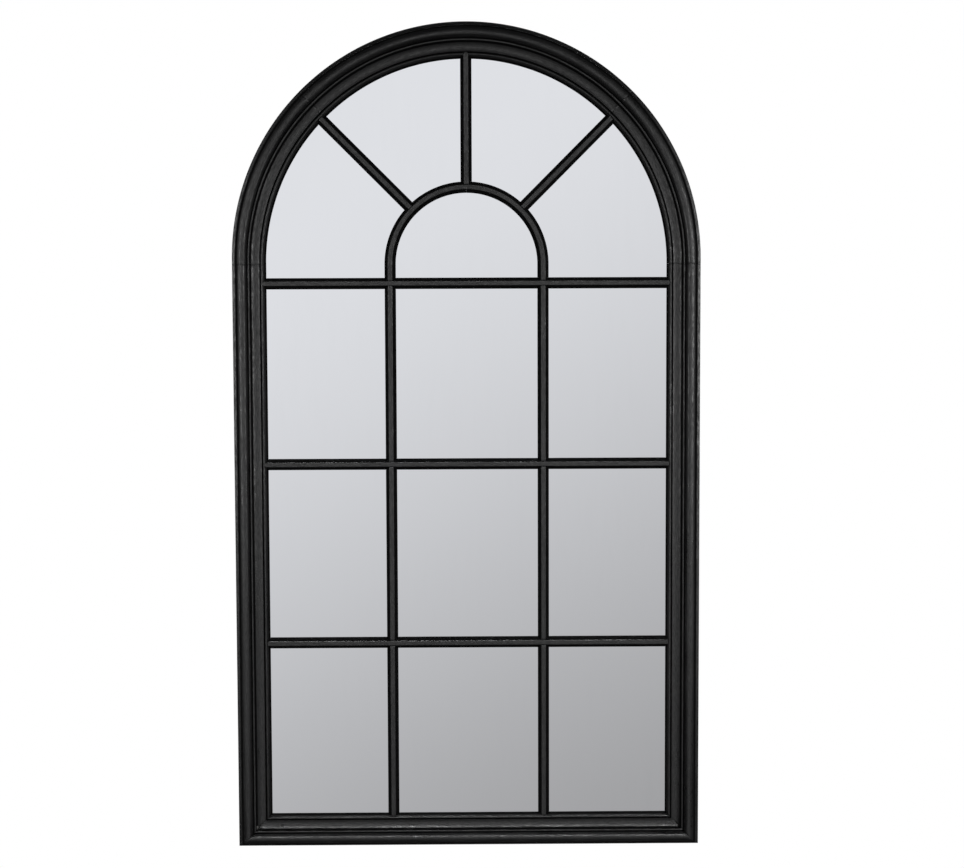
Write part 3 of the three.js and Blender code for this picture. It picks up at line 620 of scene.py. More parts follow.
def bar_half_width(b, glass_front, height):
    """How far a bar reaches from its middle line at a height above the back."""
    shoulder = glass_front + b.shoulder_height
    slope = (height - glass_front - b.edge_height) / (b.shoulder_height - b.edge_height)
    if height <= shoulder:
        return b.bar_width / 2 - max(slope, 0) * (b.bar_width - b.shoulder_width) / 2
    rise = min((height - shoulder) / b.shoulder_rise, 1)
    return b.shoulder_width / 2 - rise * (b.shoulder_width - b.nosing_width) / 2


def moulding_reach(outline, height, least):
    """The distance from the outer edge at which a bar's fibre at a height meets the moulding."""
    reach = least
    for (x0, y0), (x1, y1) in zip(outline, outline[1:]):
        if min(y0, y1) <= height <= max(y0, y1) and y0 != y1:
            reach = max(reach, x0 + (x1 - x0) * (height - y0) / (y1 - y0))
    return reach


def softened(outline, arris):
    """The closed outline with each sharp corner turned into a small curve."""
    corners = [Vector(point) for point in outline]
    result = []
    for index, corner in enumerate(corners):
        before, after = corners[index - 1] - corner, corners[(index + 1) % len(corners)] - corner
        if before.length < 1e-9 or after.length < 1e-9:
            continue
        if before.angle(after) > math.radians(158):
            result.append(corner)
            continue
        start = corner + before.normalized() * min(arris, before.length * 0.45)
        stop = corner + after.normalized() * min(arris, after.length * 0.45)
        for step in range(4):
            t = step / 3
            result.append(start * (1 - t) ** 2 + corner * 2 * t * (1 - t) + stop * t**2)
    return result


def divided(outline, longest):
    """The closed outline with no side longer than a length."""
    result = []
    for point, following in zip(outline, outline[1:] + outline[:1]):
        count = max(1, math.ceil((following - point).length / longest))
        result += [point.lerp(following, step / count) for step in range(count)]
    return result


def outward(ring):
    """The outward direction at each point of a closed ring."""
    area = sum(a.x * b.y - b.x * a.y for a, b in zip(ring, ring[1:] + ring[:1]))
    sign = 1 if area > 0 else -1
    directions = []
    for index in range(len(ring)):
        along = (ring[(index + 1) % len(ring)] - ring[index - 1]).normalized()
        directions.append(Vector((along.y, -along.x)) * sign)
    return directions


# ---- The moulded run: a section swept along a route ----


def new_tree(name, inputs):
    """A Geometry Nodes tree with named inputs: its graph, and the inputs as Values."""
    tree = bpy.data.node_groups.new(name, "GeometryNodeTree")
    for label, kind in inputs.items():
        tree.interface.new_socket(label, in_out="INPUT", socket_type=f"NodeSocket{kind}")
    tree.interface.new_socket("Piece", in_out="OUTPUT", socket_type="NodeSocketGeometry")
    graph = Graph(tree)
    outputs = graph.add("NodeGroupInput").outputs
    return graph, {label: Value(graph, outputs[label]) for label in inputs}


def end_tree(graph, piece, material):
    """Ends a tree in plain geometry that has its material."""
    piece = graph.geometry("RealizeInstances", {"Geometry": piece})
    piece = graph.geometry("SetMaterial", {"Geometry": piece, "Material": material})
    graph.add("NodeGroupOutput", {"Piece": piece})
    return graph.tree


def moulded_run_tree():
    """A node tree that sweeps a section, whose fibres each have their own start and finish."""
    numbers = (
        "End round", "Fullness", "Arch centre", "Arch radius", "Ripple", "Ripple length", "Seed"
    )
    inputs = {"Section": "Geometry", "Route": "Object", "Rows": "Int", "Paint": "Material"}
    graph, given = new_tree("Moulded run", {**inputs, **dict.fromkeys(numbers, "Float")})

    def named(name, kind="FLOAT"):
        return graph.geometry("InputNamedAttribute", {"Name": name}, data_type=kind)

    def kept(piece, name, value, kind="FLOAT", domain="POINT"):
        feeds = {"Geometry": piece, "Name": name, "Value": value}
        return graph.geometry("StoreNamedAttribute", feeds, data_type=kind, domain=domain)

    section = graph.geometry("MeshToCurve", {"Mesh": given["Section"]})
    line = graph.geometry("CurvePrimitiveLine", {"End": (0.0, 0.0, 1.0)})
    line = graph.geometry("ResampleCurve", {"Curve": line, "Count": given["Rows"]})
    line = kept(line, "row", graph.geometry("InputIndex"))
    feeds = {"Curve": line, "Profile Curve": section, "Fill Caps": True}
    tube = graph.geometry("CurveToMesh", feeds)

    # The rows next to each end go round the edge of the end face in two steps.
    steps = 2.0
    row, last, edge = named("row"), given["Rows"] - 1.0, given["End round"]
    turns = []
    for from_end in (row, last - row):
        turns.append(graph.math("DIVIDE", from_end, steps, clamp=True) * (math.pi / 2))
    sines = [1.0 - graph.math("SINE", angle) for angle in turns]
    shrink = edge * (sines[0] + sines[1])
    trims = [edge * (1.0 - graph.math("COSINE", angle)) for angle in turns]
    t = graph.math("DIVIDE", row - steps, last - 2.0 * steps, clamp=True)
    start, finish = named("start") + trims[0], named("finish") - trims[1]
    along = start + t * (finish - start)

    # Sanding leaves the surface a little under its drawn line, never over it.
    drawn, skin = named("section", "FLOAT_VECTOR"), named("skin", "FLOAT_VECTOR")
    drawn_height, outwards, _ = graph.split(drawn)
    waves = 60.0  # waves of the sanding in a metre across the section
    spot = graph.combine(
        along / given["Ripple length"], outwards * waves + given["Seed"], drawn_height * waves
    )
    inset = shrink + given["Ripple"] * graph.noise(spot, 1.0, 2.0, 0.5)
    worked = graph.vector("SUBTRACT", drawn, graph.vector("SCALE", skin, scale=inset))
    height, across, _ = graph.split(worked)

    feeds = {"Object": given["Route"]}
    path = graph.geometry("ObjectInfo", feeds, "Geometry", transform_space="ORIGINAL")
    feeds = {"Curves": path, "Length": along}
    sample = graph.add("GeometryNodeSampleCurve", feeds, mode="LENGTH").outputs
    position, tangent = Value(graph, sample["Position"]), Value(graph, sample["Tangent"])
    inward = graph.vector("NORMALIZE", graph.vector("CROSS_PRODUCT", tangent, tuple(FRONT)))

    # The moulding of the arch grows wider towards the crown, on the side of the glass.
    rise = graph.split(position)[2] - given["Arch centre"]
    sine = graph.math("DIVIDE", rise, given["Arch radius"], clamp=True)
    growth = given["Fullness"] * (sine * (2.0 - sine)) * named("share")
    place = graph.vector("SCALE", inward, scale=across + growth)
    place = graph.vector("ADD", position, place)
    place = graph.vector("ADD", place, graph.vector("SCALE", tuple(FRONT), scale=height))

    tube = kept(tube, "run", graph.combine(along, across, height), "FLOAT_VECTOR")
    tube = graph.geometry("SetPosition", {"Geometry": tube, "Position": place})
    tube = graph.geometry("SetShadeSmooth", {"Geometry": tube, "Shade Smooth": True})
    bend = graph.geometry("InputMeshEdgeAngle")
    sharp = graph.math("GREATER_THAN", bend, math.radians(38))
    tube = kept(tube, "sharp_edge", sharp, "BOOLEAN", "EDGE")
    for name in ("row", "start", "finish", "section", "skin", "share"):
        tube = graph.geometry("RemoveAttribute", {"Geometry": tube, "Name": name})
    return end_tree(graph, tube, given["Paint"])


def turned_out(mesh):
    """Turns the faces of a closed mesh outwards."""
    work = bmesh.new()
    work.from_mesh(mesh)
    inside_out = work.calc_volume(signed=True) < 0
    work.free()
    if inside_out:
        mesh.flip_normals()


def faced_out(mesh):
    """Makes the faces of a closed mesh agree, and turns them outwards."""
    work = bmesh.new()
    work.from_mesh(mesh)
    bmesh.ops.recalc_face_normals(work, faces=work.faces)
    work.to_mesh(mesh)
    work.free()
    turned_out(mesh)


def made_real(piece, name):
    """The piece with its modifiers applied, as a plain mesh with the name."""
    bpy.context.view_layer.update()
    graph = bpy.context.evaluated_depsgraph_get()
    mesh = bpy.data.meshes.new_from_object(piece.evaluated_get(graph), depsgraph=graph)
    old = piece.data
    piece.modifiers.clear()
    piece.data = mesh
    bpy.data.meshes.remove(old)
    piece.name = mesh.name = name
    return piece


def grown(piece, name, tree_name, make, values):
    """The piece that a Geometry Nodes tree, made once, makes from a starting piece."""
    modifier = piece.modifiers.new(tree_name, "NODES")
    modifier.node_group = bpy.data.node_groups.get(tree_name) or make()
    for item in modifier.node_group.interface.items_tree:
        if item.item_type == "SOCKET" and item.in_out == "INPUT" and item.name in values:
            modifier[item.identifier] = values[item.name]
    return made_real(piece, name)


def link(piece):
    bpy.context.scene.collection.objects.link(piece)
    return piece


def mesh_piece(name, points, faces, edges=()):
    """A linked mesh object."""
    mesh = bpy.data.meshes.new(name)
    mesh.from_pydata([tuple(point) for point in points], list(edges), [tuple(face) for face in faces])
    mesh.update()
    return link(bpy.data.objects.new(name, mesh))


def route(name, points):
    """A linked open curve through points (x, z) in the plane of the wall."""
    curve = bpy.data.curves.new(name, "CURVE")
    curve.dimensions = "3D"
    spline = curve.splines.new("POLY")
    spline.points.add(len(points) - 1)
    for spot, (x, z) in zip(spline.points, points):
        spot.co = (x, 0, z, 1)
    return link(bpy.data.objects.new(name, curve))


def swept_piece(name, outline, start, finish, path, sizes, seed, material, rows=None):
    """Sweeps an outline of (across, height) along a path.

    start and finish give, for a fibre at (across, height), where it begins and ends on the path, and
    sizes["share"] how much of the arch's extra width it takes up.
    """
    share_of = sizes.get("share", lambda across, height: 0.0)
    ring = divided(softened(outline, sizes["arris"]), sizes["longest"])
    skins = outward(ring)
    count = len(ring)
    points = [(point.y, point.x, 0) for point in ring]
    piece = mesh_piece(name, points, (), [(index, (index + 1) % count) for index in range(count)])
    columns = {
        "start": ("FLOAT", [start(point.x, point.y) for point in ring]),
        "finish": ("FLOAT", [finish(point.x, point.y) for point in ring]),
        "share": ("FLOAT", [share_of(point.x, point.y) for point in ring]),
        "section": ("FLOAT_VECTOR", [number for point in points for number in point]),
        "skin": ("FLOAT_VECTOR", [number for skin in skins for number in (skin.y, skin.x, 0)]),
    }
    for column, (kind, values) in columns.items():
        attribute = piece.data.attributes.new(column, kind, "POINT")
        attribute.data.foreach_set("value" if kind == "FLOAT" else "vector", values)
    if rows is None:
        run = max(columns["finish"][1]) - min(columns["start"][1])
        rows = max(8, round(run / settings("mirror_sizes").row_step)) + 5
    values = {
        "Route": path,
        "Rows": rows,
        "End round": sizes["end_round"],
        "Fullness": sizes.get("fullness", 0.0),
        "Arch centre": sizes.get("arch_centre", 0.0),
        "Arch radius": sizes.get("arch_radius", 1.0),
        "Ripple": sizes["ripple"],
        "Ripple length": sizes["ripple_length"],
        "Seed": float(seed),
        "Paint": material,
    }
    grown(piece, name, "Moulded run", moulded_run_tree, values)
    turned_out(piece.data)
    return piece


def run_of(mesh):
    """The mesh's stored places along its run, or nothing where it has none."""
    attribute = mesh.attributes.get("run")
    return attribute.data if attribute else ()


def with_solids(piece, cutters, operation):
    """The piece joined with, or cut by, other closed meshes, which are used up.

    The boolean loses the places along the run, so each point takes those of the nearest old one.
    """
    pairs = zip(piece.data.vertices, run_of(piece.data))
    old = [(point.co.copy(), place.vector.copy()) for point, place in pairs]
    for cutter in cutters:
        modifier = piece.modifiers.new("Solids", "BOOLEAN")
        modifier.object = cutter
        modifier.operation = operation
        modifier.solver = "EXACT"
        made_real(piece, piece.name)
    for cutter in cutters:
        bpy.data.objects.remove(cutter)
    if old:
        tree = KDTree(len(old))
        for index, (co, _) in enumerate(old):
            tree.insert(co, index)
        tree.balance()
        for point, place in zip(piece.data.vertices, run_of(piece.data)):
            place.vector = old[tree.find(point.co)[1]][1]
    return piece


def prism(name, outline, low, high):
    """A closed upright-walled solid over an outline of (x, z), between two heights above the back."""
    count = len(outline)
    points = [(x, -low, z) for x, z in outline] + [(x, -high, z) for x, z in outline]
    sides = [(i, (i + 1) % count, count + (i + 1) % count, count + i) for i in range(count)]
    caps = [tuple(range(count)), tuple(range(count, 2 * count))]
    piece = mesh_piece(name, points, [*sides, *caps])
    faced_out(piece.data)
    return piece


def finished(piece, nodes, body=BODY):
    """Puts the piece under its body and hides the CAD nodes that it stands for."""
    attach(piece, body)
    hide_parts(*nodes)


# ---- Where things are ----


class Layout:
    """Lengths worked out from the settings; heights are above the origin."""

    def __init__(self):
        self.sizes = settings("mirror_sizes")
        self.moulding = settings("mirror_moulding")
        self.bars = settings("mirror_bars")
        sizes, bars = self.sizes, self.bars
        self.half = sizes.overall_width / 2
        self.foot = -sizes.origin_height
        self.arch_centre = self.foot + sizes.overall_height - self.half
        self.stile_top = self.arch_centre - sizes.arch_leg
        self.gap = sizes.joint_gap
        self.width = moulding_width(self.moulding)
        self.outline = moulding_outline(self.moulding, sizes.glass_front)
        self.seat = self.width - bars.bar_seat
        self.housed = self.width - bars.tongue_embed
        self.ring = bars.upright_spacing / 2
        self.nosing = bars.nosing_width / 2
        self.crest = sizes.glass_front + bars.bar_height
        self.top_bar = self.stile_top - bars.top_bar_drop
        self.lead = 0.05  # straight run of a route before its first point

    def frame_sizes(self):
        m = self.moulding
        return {
            "arris": m.arris,
            "longest": 0.0024,
            "ripple": m.ripple,
            "ripple_length": m.ripple_length,
            "end_round": self.sizes.joint_round,
            "fullness": m.crown_fullness,
            "arch_centre": self.arch_centre,
            "arch_radius": self.half,
            "share": self.share_of_width,
        }

    def share_of_width(self, across, height):
        """How far across the moulding a fibre lies; what is behind the glass front stays put."""
        tiny = 1e-5
        behind = height < self.sizes.glass_front + tiny
        if behind and across < self.width - self.moulding.rebate_width + tiny:
            return 0.0
        return across / self.width

    def fullness_at(self, sine):
        """The moulding's extra width on a line from the arch's centre with this rise."""
        return self.moulding.crown_fullness * sine * (2 - sine)

    def bar_sizes(self):
        b = self.bars
        return {
            "arris": b.arris,
            "longest": 0.0007,
            "ripple": b.ripple,
            "ripple_length": b.ripple_length,
            "end_round": b.end_round,
        }

    def bar_at(self, height):
        """Half the width of a bar at a height above the back."""
        return bar_half_width(self.bars, self.sizes.glass_front, height)

    def moulding_at(self, height, sine=0.0):
        """Where a bar's fibre meets the moulding, from the outer edge, on a line with this rise."""
        reach = moulding_reach(self.outline, height, self.seat)
        return reach * (1 + self.fullness_at(sine) / self.width)

    def row_height(self, row):
        """The middle of a horizontal bar; 3 is the highest."""
        return self.top_bar - (3 - row) * self.bars.pane_pitch

    def outer_route(self):
        """Up the left edge, round the arch and down the right edge."""
        points = [(-self.half, self.foot - self.lead)]
        for degrees in range(180, -1, -1):
            angle = math.radians(degrees)
            points.append((self.half * math.cos(angle), self.arch_centre + self.half * math.sin(angle)))
        points.append((self.half, self.foot - self.lead))
        return points


TONGUE_ROOT = 0.017  # how far a tongue or its notch reaches back from the tip's centre
TONGUE_LEAD = 0.03  # straight run of a tongue's route beyond it at both ends


def tongue_outline(layout, end, direction, breadth):
    """A round-ended outline (x, z) behind a bar end that points along a direction."""
    heading = math.atan2(direction.y, direction.x)
    centre = end - direction * layout.nosing
    back = centre - direction * TONGUE_ROOT
    side = Vector((-direction.y, direction.x)) * breadth
    points = [back - side]
    for step in range(17):
        angle = heading - math.pi / 2 + math.pi * step / 16
        points.append(centre + Vector((math.cos(angle), math.sin(angle))) * breadth)
    points.append(back + side)
    return points


def housed_notch(layout, end, direction):
    """The cutter for the notch that a housed bar end sits in."""
    bars = layout.bars
    outline = tongue_outline(layout, end, direction, layout.nosing + bars.tongue_clearance)
    floor = layout.sizes.glass_front + bars.shoulder_height - layout.gap
    above_all = layout.moulding.crest_height + 5 * MM
    return prism("notch", outline, floor, above_all)


def housed_tongue(layout, end, direction, material, seed):
    """The nosing of a housed bar end, with its round tip."""
    bars = layout.bars
    low = layout.sizes.glass_front + bars.shoulder_height + 0.0002  # clear of the notch's floor
    grow = 0.00002  # so that no face of the tongue lies in a face of its bar
    half, crest, edge = layout.nosing + grow, layout.crest + grow, bars.nosing_round
    arc = arc_points(half - edge, crest - edge, edge, edge, 0, 90, 5)
    outline = [(-half, low), (half, low), *arc, *[(-x, y) for x, y in reversed(arc)]]
    begin = end - direction * (TONGUE_ROOT + TONGUE_LEAD)
    path = route("tongue_route", [tuple(begin), tuple(end + direction * TONGUE_LEAD)])
    sizes = {**layout.bar_sizes(), "longest": 0.0005, "ripple": 0.0, "arris": 0.0001}
    tip = TONGUE_LEAD + TONGUE_ROOT
    start = lambda across, height: TONGUE_LEAD

    def finish(across, height):
        across = min(abs(across), layout.nosing)
        return tip - (layout.nosing - math.sqrt(layout.nosing**2 - across**2))

    rows = 14
    piece = swept_piece("tongue", outline, start, finish, path, sizes, seed, material, rows)
    bpy.data.objects.remove(path)
    return piece


# ---- Operators: the pieces ----


class MIRROR_OT_frame_members(bpy.types.Operator):
    """Make the two stiles, the bottom rail and the three arch segments"""

    bl_idname = "arched_mirror.frame_members"
    bl_label = "Frame members"

    def execute(self, context):
        layout = Layout()
        seed = settings("mirror_stage").light_seed
        half, lead, gap = layout.half, layout.lead, layout.sizes.joint_line
        parted = layout.sizes.open_joint_line
        leg = layout.stile_top - layout.foot
        arc = math.pi * half
        arch_start = lead + layout.arch_centre - layout.foot
        whole = 2 * arch_start + arc
        mitre = gap / 2 * math.sqrt(2)
        edge = route("outer_edge", layout.outer_route())
        foot = route("foot_edge", [(half + lead, layout.foot), (-half - lead, layout.foot)])
        fixed = lambda place: lambda across, height: place
        mitred_up = lambda a, h: lead + a + mitre
        mitred_down = lambda a, h: whole - lead - a - mitre
        mitred_right = lambda a, h: lead + 2 * half - a - mitre
        left_joint, right_joint = arch_start + arc / 4, arch_start + arc * 3 / 4
        left_top, right_top = lead + leg, whole - lead - leg
        spans = {
            "left_stile": (edge, mitred_up, fixed(left_top - gap / 2)),
            "arch_left_haunch": (edge, fixed(left_top + gap / 2), fixed(left_joint - gap / 2)),
            "arch_crown": (edge, fixed(left_joint + gap / 2), fixed(right_joint - gap / 2)),
            "arch_right_haunch": (
                edge, fixed(right_joint + gap / 2), fixed(right_top - parted / 2)
            ),
            "right_stile": (edge, fixed(right_top + parted / 2), mitred_down),
            "bottom_rail": (foot, mitred_up, mitred_right),
        }

        # Marks where the photo shows them, and the filler in the left corner.
        angle, reach = math.radians(132.9), half - 0.0348
        nail = (reach * math.cos(angle), -0.0255, layout.arch_centre + reach * math.sin(angle))
        corner = (-half + 0.0325, -0.0250, layout.foot + 0.0360)
        dent = (-0.3194, -0.0221, layout.foot + 0.0385)
        scratch = (-0.3000, -0.0378, layout.foot + 0.0173)
        knock = (0.212, -0.0345, layout.foot + 0.0235)
        marks = [(nail, 0.0017), (dent, 0.0026), (scratch, 0.0018), (knock, 0.0018)]
        filler = [(corner, 0.0040)]
        m = layout.moulding
        groove = layout.width - m.sight_slope_width - m.inner_bead_width - m.groove_width / 2
        quirk = m.lip_width + m.torus_outer_width + m.torus_inner_width
        # Hollows of the moulding that get painted shade: darker colour and less sheen.
        recesses = [
            (m.lip_width + 1.4 * MM, 4.4 * MM),
            (quirk + 0.2 * MM, 1.4 * MM),
            (quirk + m.bead_width + 0.4 * MM, 2.0 * MM),
            (groove, m.groove_width * 0.8),
            (layout.width, m.sight_slope_width * 1.1),
        ]
        below_all, long_grain = -1 * MM, 1.0
        wood = paint("satin_black_frame", long_grain, below_all, recesses, marks, filler)
        left, up = Vector((-1, 0)), Vector((0, 1))
        left_ends = [Vector((-half + layout.housed, layout.row_height(row))) for row in (2, 3)]
        top_end = Vector((0, layout.arch_centre + half - layout.housed))
        notches = {
            "left_stile": [housed_notch(layout, end, left) for end in left_ends],
            "arch_crown": [housed_notch(layout, top_end, up)],
        }
        for number, (node, (path, start, finish)) in enumerate(spans.items()):
            name, sizes, own_seed = f"painted_{node}", layout.frame_sizes(), seed + 11 * number
            outline = layout.outline
            piece = swept_piece(name, outline, start, finish, path, sizes, own_seed, wood)
            if node in notches:
                with_solids(piece, notches[node], "DIFFERENCE")
            finished(piece, [node])
        for path in (edge, foot):
            bpy.data.objects.remove(path)
        return {"FINISHED"}


class MIRROR_OT_glazing_bars(bpy.types.Operator):
    """Make the horizontal, upright, arched and radial glazing bars"""

    bl_idname = "arched_mirror.glazing_bars"
    bl_label = "Glazing bars"

    def execute(self, context):
        self.plan = layout = Layout()
        # Under the nosing, the bar's sides and shoulders get painted shade: darker colour and less
        # sheen.
        flank = layout.sizes.glass_front + layout.bars.shoulder_height + layout.bars.shoulder_rise
        short_grain = 1.4
        self.material = paint("satin_black_bars", short_grain, flank)
        self.seed = settings("mirror_stage").light_seed + 100
        half, gap = layout.half, layout.gap
        left = Vector((-1, 0))
        for row, name in enumerate(("bottom", "middle", "top"), 1):
            height = layout.row_height(row)
            tongues = [(Vector((-half + layout.housed, height)), left)] if row > 1 else []
            reach = lambda a, h: half - layout.moulding_at(h) - gap
            node, middle, right = f"glazing_bar_{name}", Vector((0, height)), Vector((1, 0))
            self.straight(node, middle, right, reach, reach, tongues)
        for row in (1, 2, 3):
            middle = layout.row_height(row) - self.plan.bars.pane_pitch / 2
            below = layout.row_height(row - 1)
            above = layout.row_height(row)
            if row == 1:
                down = lambda a, h: middle - layout.foot - layout.moulding_at(h) - gap
            else:
                down = lambda a, h: middle - below - layout.bar_at(h) - gap
            up = lambda a, h: above - middle - layout.bar_at(h) - gap
            for side, x in (("left", -layout.ring), ("right", layout.ring)):
                self.straight(f"{side}_bar_{row}", Vector((x, middle)), Vector((0, 1)), down, up)
        self.inner_arch()
        self.radial_bars()
        return {"FINISHED"}

    def swept(self, node, start, finish, path):
        """A painted bar along a route, with a seed of its own."""
        outline = bar_outline(self.plan.bars, self.plan.sizes.glass_front)
        sizes = self.plan.bar_sizes()
        self.seed += 7
        name = f"painted_{node}"
        return swept_piece(name, outline, start, finish, path, sizes, self.seed, self.material)

    def straight(self, node, middle, direction, back, forth, tongues=()):
        """A bar through a middle point; back and forth say how far each fibre reaches from it."""
        layout = self.plan
        far = 0.9  # half the length of a route that is longer than any bar
        path = route("bar_route", [tuple(middle - direction * far), tuple(middle + direction * far)])
        start = lambda a, h: far - back(a, h)
        finish = lambda a, h: far + forth(a, h)
        piece = self.swept(node, start, finish, path)
        bpy.data.objects.remove(path)
        if tongues:
            tips = [housed_tongue(layout, end, way, self.material, self.seed) for end, way in tongues]
            with_solids(piece, tips, "UNION")
        finished(piece, [node])

    def inner_arch(self):
        """Two halves that meet at the crown and stand on the top bar."""
        layout = self.plan
        ring, centre, gap, lead = layout.ring, layout.stile_top, layout.gap, layout.lead
        line = layout.sizes.joint_line
        foot = layout.top_bar
        points = [(-ring, foot - lead)]
        for degrees in range(180, -1, -1):
            angle = math.radians(degrees)
            points.append((ring * math.cos(angle), centre + ring * math.sin(angle)))
        points.append((ring, foot - lead))
        path = route("inner_arch_route", points)
        leg = lead + centre - foot
        crown = leg + math.pi * ring / 2
        whole = 2 * crown
        clear = lambda a, h: lead + layout.bar_at(h) + gap
        halves = {
            "inner_arch_left": (clear, lambda a, h: crown - line / 2),
            "inner_arch_right": (lambda a, h: crown + line / 2, lambda a, h: whole - clear(a, h)),
        }
        for node, (start, finish) in halves.items():
            finished(self.swept(node, start, finish, path), [node])
        bpy.data.objects.remove(path)

    def radial_bars(self):
        """Bars from the inner arch out to the frame's arch."""
        layout = self.plan
        gap, rise = layout.gap, layout.arch_centre - layout.stile_top
        for place, turns in (("right", 1), ("top", 2), ("left", 3)):
            angle = layout.bars.radial_turn * turns
            way = Vector((math.cos(angle), math.sin(angle)))
            side = Vector((way.y, -way.x))

            def outer(across, radius):
                forward = rise * way.y
                sideways = across - rise * side.y
                return forward + math.sqrt(radius**2 - sideways**2)

            origin = Vector((0, layout.stile_top))
            middle_reach = (layout.ring + layout.half - layout.width) / 2
            middle = origin + way * middle_reach

            def back(a, h):
                near_side = layout.ring + layout.bar_at(h)
                return middle_reach - math.sqrt(near_side**2 - a**2) - gap

            def forth(a, h):
                return outer(a, layout.half - layout.moulding_at(h, way.y)) - middle_reach - gap

            tip = origin + way * outer(0, layout.half - layout.housed)
            tongues = [(tip, way)] if place == "top" else []
            self.straight(f"radial_bar_{place}", middle, way, back, forth, tongues)


class MIRROR_OT_glass_and_board(bpy.types.Operator):
    """Give the mirror plate, the backing board, the dowels and the corner nails their finish"""

    bl_idname = "arched_mirror.glass_and_board"
    bl_label = "Glass, board and joint fasteners"

    def execute(self, context):
        finishes = {"mirror_plate": silvered_glass(), "backing_board": pressed_board()}
        beech, zinc = turned_beech(), zinc_plate()
        for node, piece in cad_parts.items():
            material = finishes.get(node)
            if "_dowel_" in node:
                material = beech
            if "_v_nail_" in node:
                material = zinc
            if material:
                piece.data.materials.clear()
                piece.data.materials.append(material)
        return {"FINISHED"}


def copies_tree():
    """A node tree that puts a part at each point, turned as the point says."""
    inputs = {"Places": "Geometry", "Part": "Object", "Scale": "Float", "Finish": "Material"}
    graph, given = new_tree("Placed copies", inputs)
    feeds = {"Object": given["Part"]}
    part = graph.geometry("ObjectInfo", feeds, "Geometry", transform_space="ORIGINAL")
    turns = graph.geometry("InputNamedAttribute", {"Name": "turns"}, data_type="FLOAT_VECTOR")
    feeds = {
        "Points": given["Places"],
        "Instance": part,
        "Rotation": graph.value("FunctionNodeEulerToRotation", {0: turns}),
        "Scale": graph.combine(given["Scale"], given["Scale"], given["Scale"]),
    }
    return end_tree(graph, graph.geometry("InstanceOnPoints", feeds), given["Finish"])


def placed_copies(name, part, places, material):
    """One piece with a copy of a part at each place: a point and its turns about x, y and z."""
    piece = mesh_piece(name, [spot for spot, _ in places], ())
    attribute = piece.data.attributes.new("turns", "FLOAT_VECTOR", "POINT")
    attribute.data.foreach_set("vector", [number for _, turns in places for number in turns])
    values = {"Part": part, "Scale": 1.0, "Finish": material}
    grown(piece, name, "Placed copies", copies_tree, values)
    bpy.data.objects.remove(part)
    return piece


def smooth_by_angle(mesh, degrees=35):
    mesh.shade_smooth()
    mesh.set_sharp_from_angle(angle=math.radians(degrees))


def lathe(name, profile, sides):
    """A closed solid turned about y; profile is (radius, y) from one pole to the other."""
    points, faces = [], []
    for radius, y in profile[1:-1]:
        for side in range(sides):
            angle = 2 * math.pi * side / sides
            points.append((radius * math.cos(angle), y, radius * math.sin(angle)))
    rings = len(profile) - 2
    for ring in range(rings - 1):
        for side in range(sides):
            following = (side + 1) % sides
            a, b = ring * sides + side, ring * sides + following
            faces.append((a, b, b + sides, a + sides))
    points += [(0, profile[0][1], 0), (0, profile[-1][1], 0)]
    first, last = len(points) - 2, len(points) - 1
    for side in range(sides):
        following = (side + 1) % sides
        faces.append((first, following, side))
        top = (rings - 1) * sides
        faces.append((last, top + side, top + following))
    piece = mesh_piece(name, points, faces)
    faced_out(piece.data)
    smooth_by_angle(piece.data)
    return piece


class MIRROR_OT_glazing_points(bpy.types.Operator):
    """Make the thirteen steel points that hold the backing board"""

    bl_idname = "arched_mirror.glazing_points"
    bl_label = "Glazing points"

    def execute(self, context):
        h = settings("mirror_hangers")
        half, tip = h.point_width / 2, h.point_grip
        back = tip - h.point_length
        shoulder = tip - h.point_tip
        corner = half * 0.22
        outline = [
            (back, -half + corner),
            (back + corner, -half),
            (shoulder, -half),
            (tip, -half * 0.06),
            (tip, half * 0.06),
            (shoulder, half),
            (back + corner, half),
            (back, half - corner),
        ]
        part = prism("glazing_point", outline, -h.point_thickness, 0)
        circle = arc_points(0, 0, 1, 1, 0, 345, 23)
        rim = [(back * 0.55 + x * half * 0.3, y * half * 0.3) for x, y in circle]
        dimple = prism("dimple", rim, -h.point_thickness * 1.5, -h.point_thickness * 0.6)
        with_solids(part, [dimple], "DIFFERENCE")
        bevel = part.modifiers.new("Bevel", "BEVEL")
        bevel.width, bevel.segments, bevel.limit_method = h.point_thickness * 0.2, 2, "ANGLE"
        made_real(part, "glazing_point")
        smooth_by_angle(part.data)
        names = sorted(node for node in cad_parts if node.startswith("glazing_point_"))
        places = [self.place_of(node, h) for node in names]
        piece = placed_copies("zinc_glazing_points", part, places, zinc_plate())
        finished(piece, names)
        return {"FINISHED"}

    def place_of(self, node, h):
        """The middle of the rebate's wall under a point, and the point's turn, from its CAD solid."""
        spots = [Vector((v.co.x, 0, v.co.z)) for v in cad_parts[node].data.vertices]
        corners = [Vector((x, 0, z)) for x, z in {(round(s.x, 5), round(s.z, 5)) for s in spots}]
        tip = self.tip_of(corners)
        away = (tip - self.heel_of(corners, tip)).normalized()
        place = tip - away * h.point_grip
        angle = math.atan2(-away.z, away.x)
        return (place.x, -h.board_recess, place.z), (0.0, angle, 0.0)

    def tip_of(self, corners):
        """The sharp end: the corner whose nearest neighbour is the furthest away."""
        return max(corners, key=lambda c: min((c - o).length for o in corners if o is not c))

    def heel_of(self, corners, tip):
        """The middle of the end that lies furthest from the tip."""
        far = sorted(corners, key=lambda c: (c - tip).length)[-2:]
        return (far[0] + far[1]) / 2


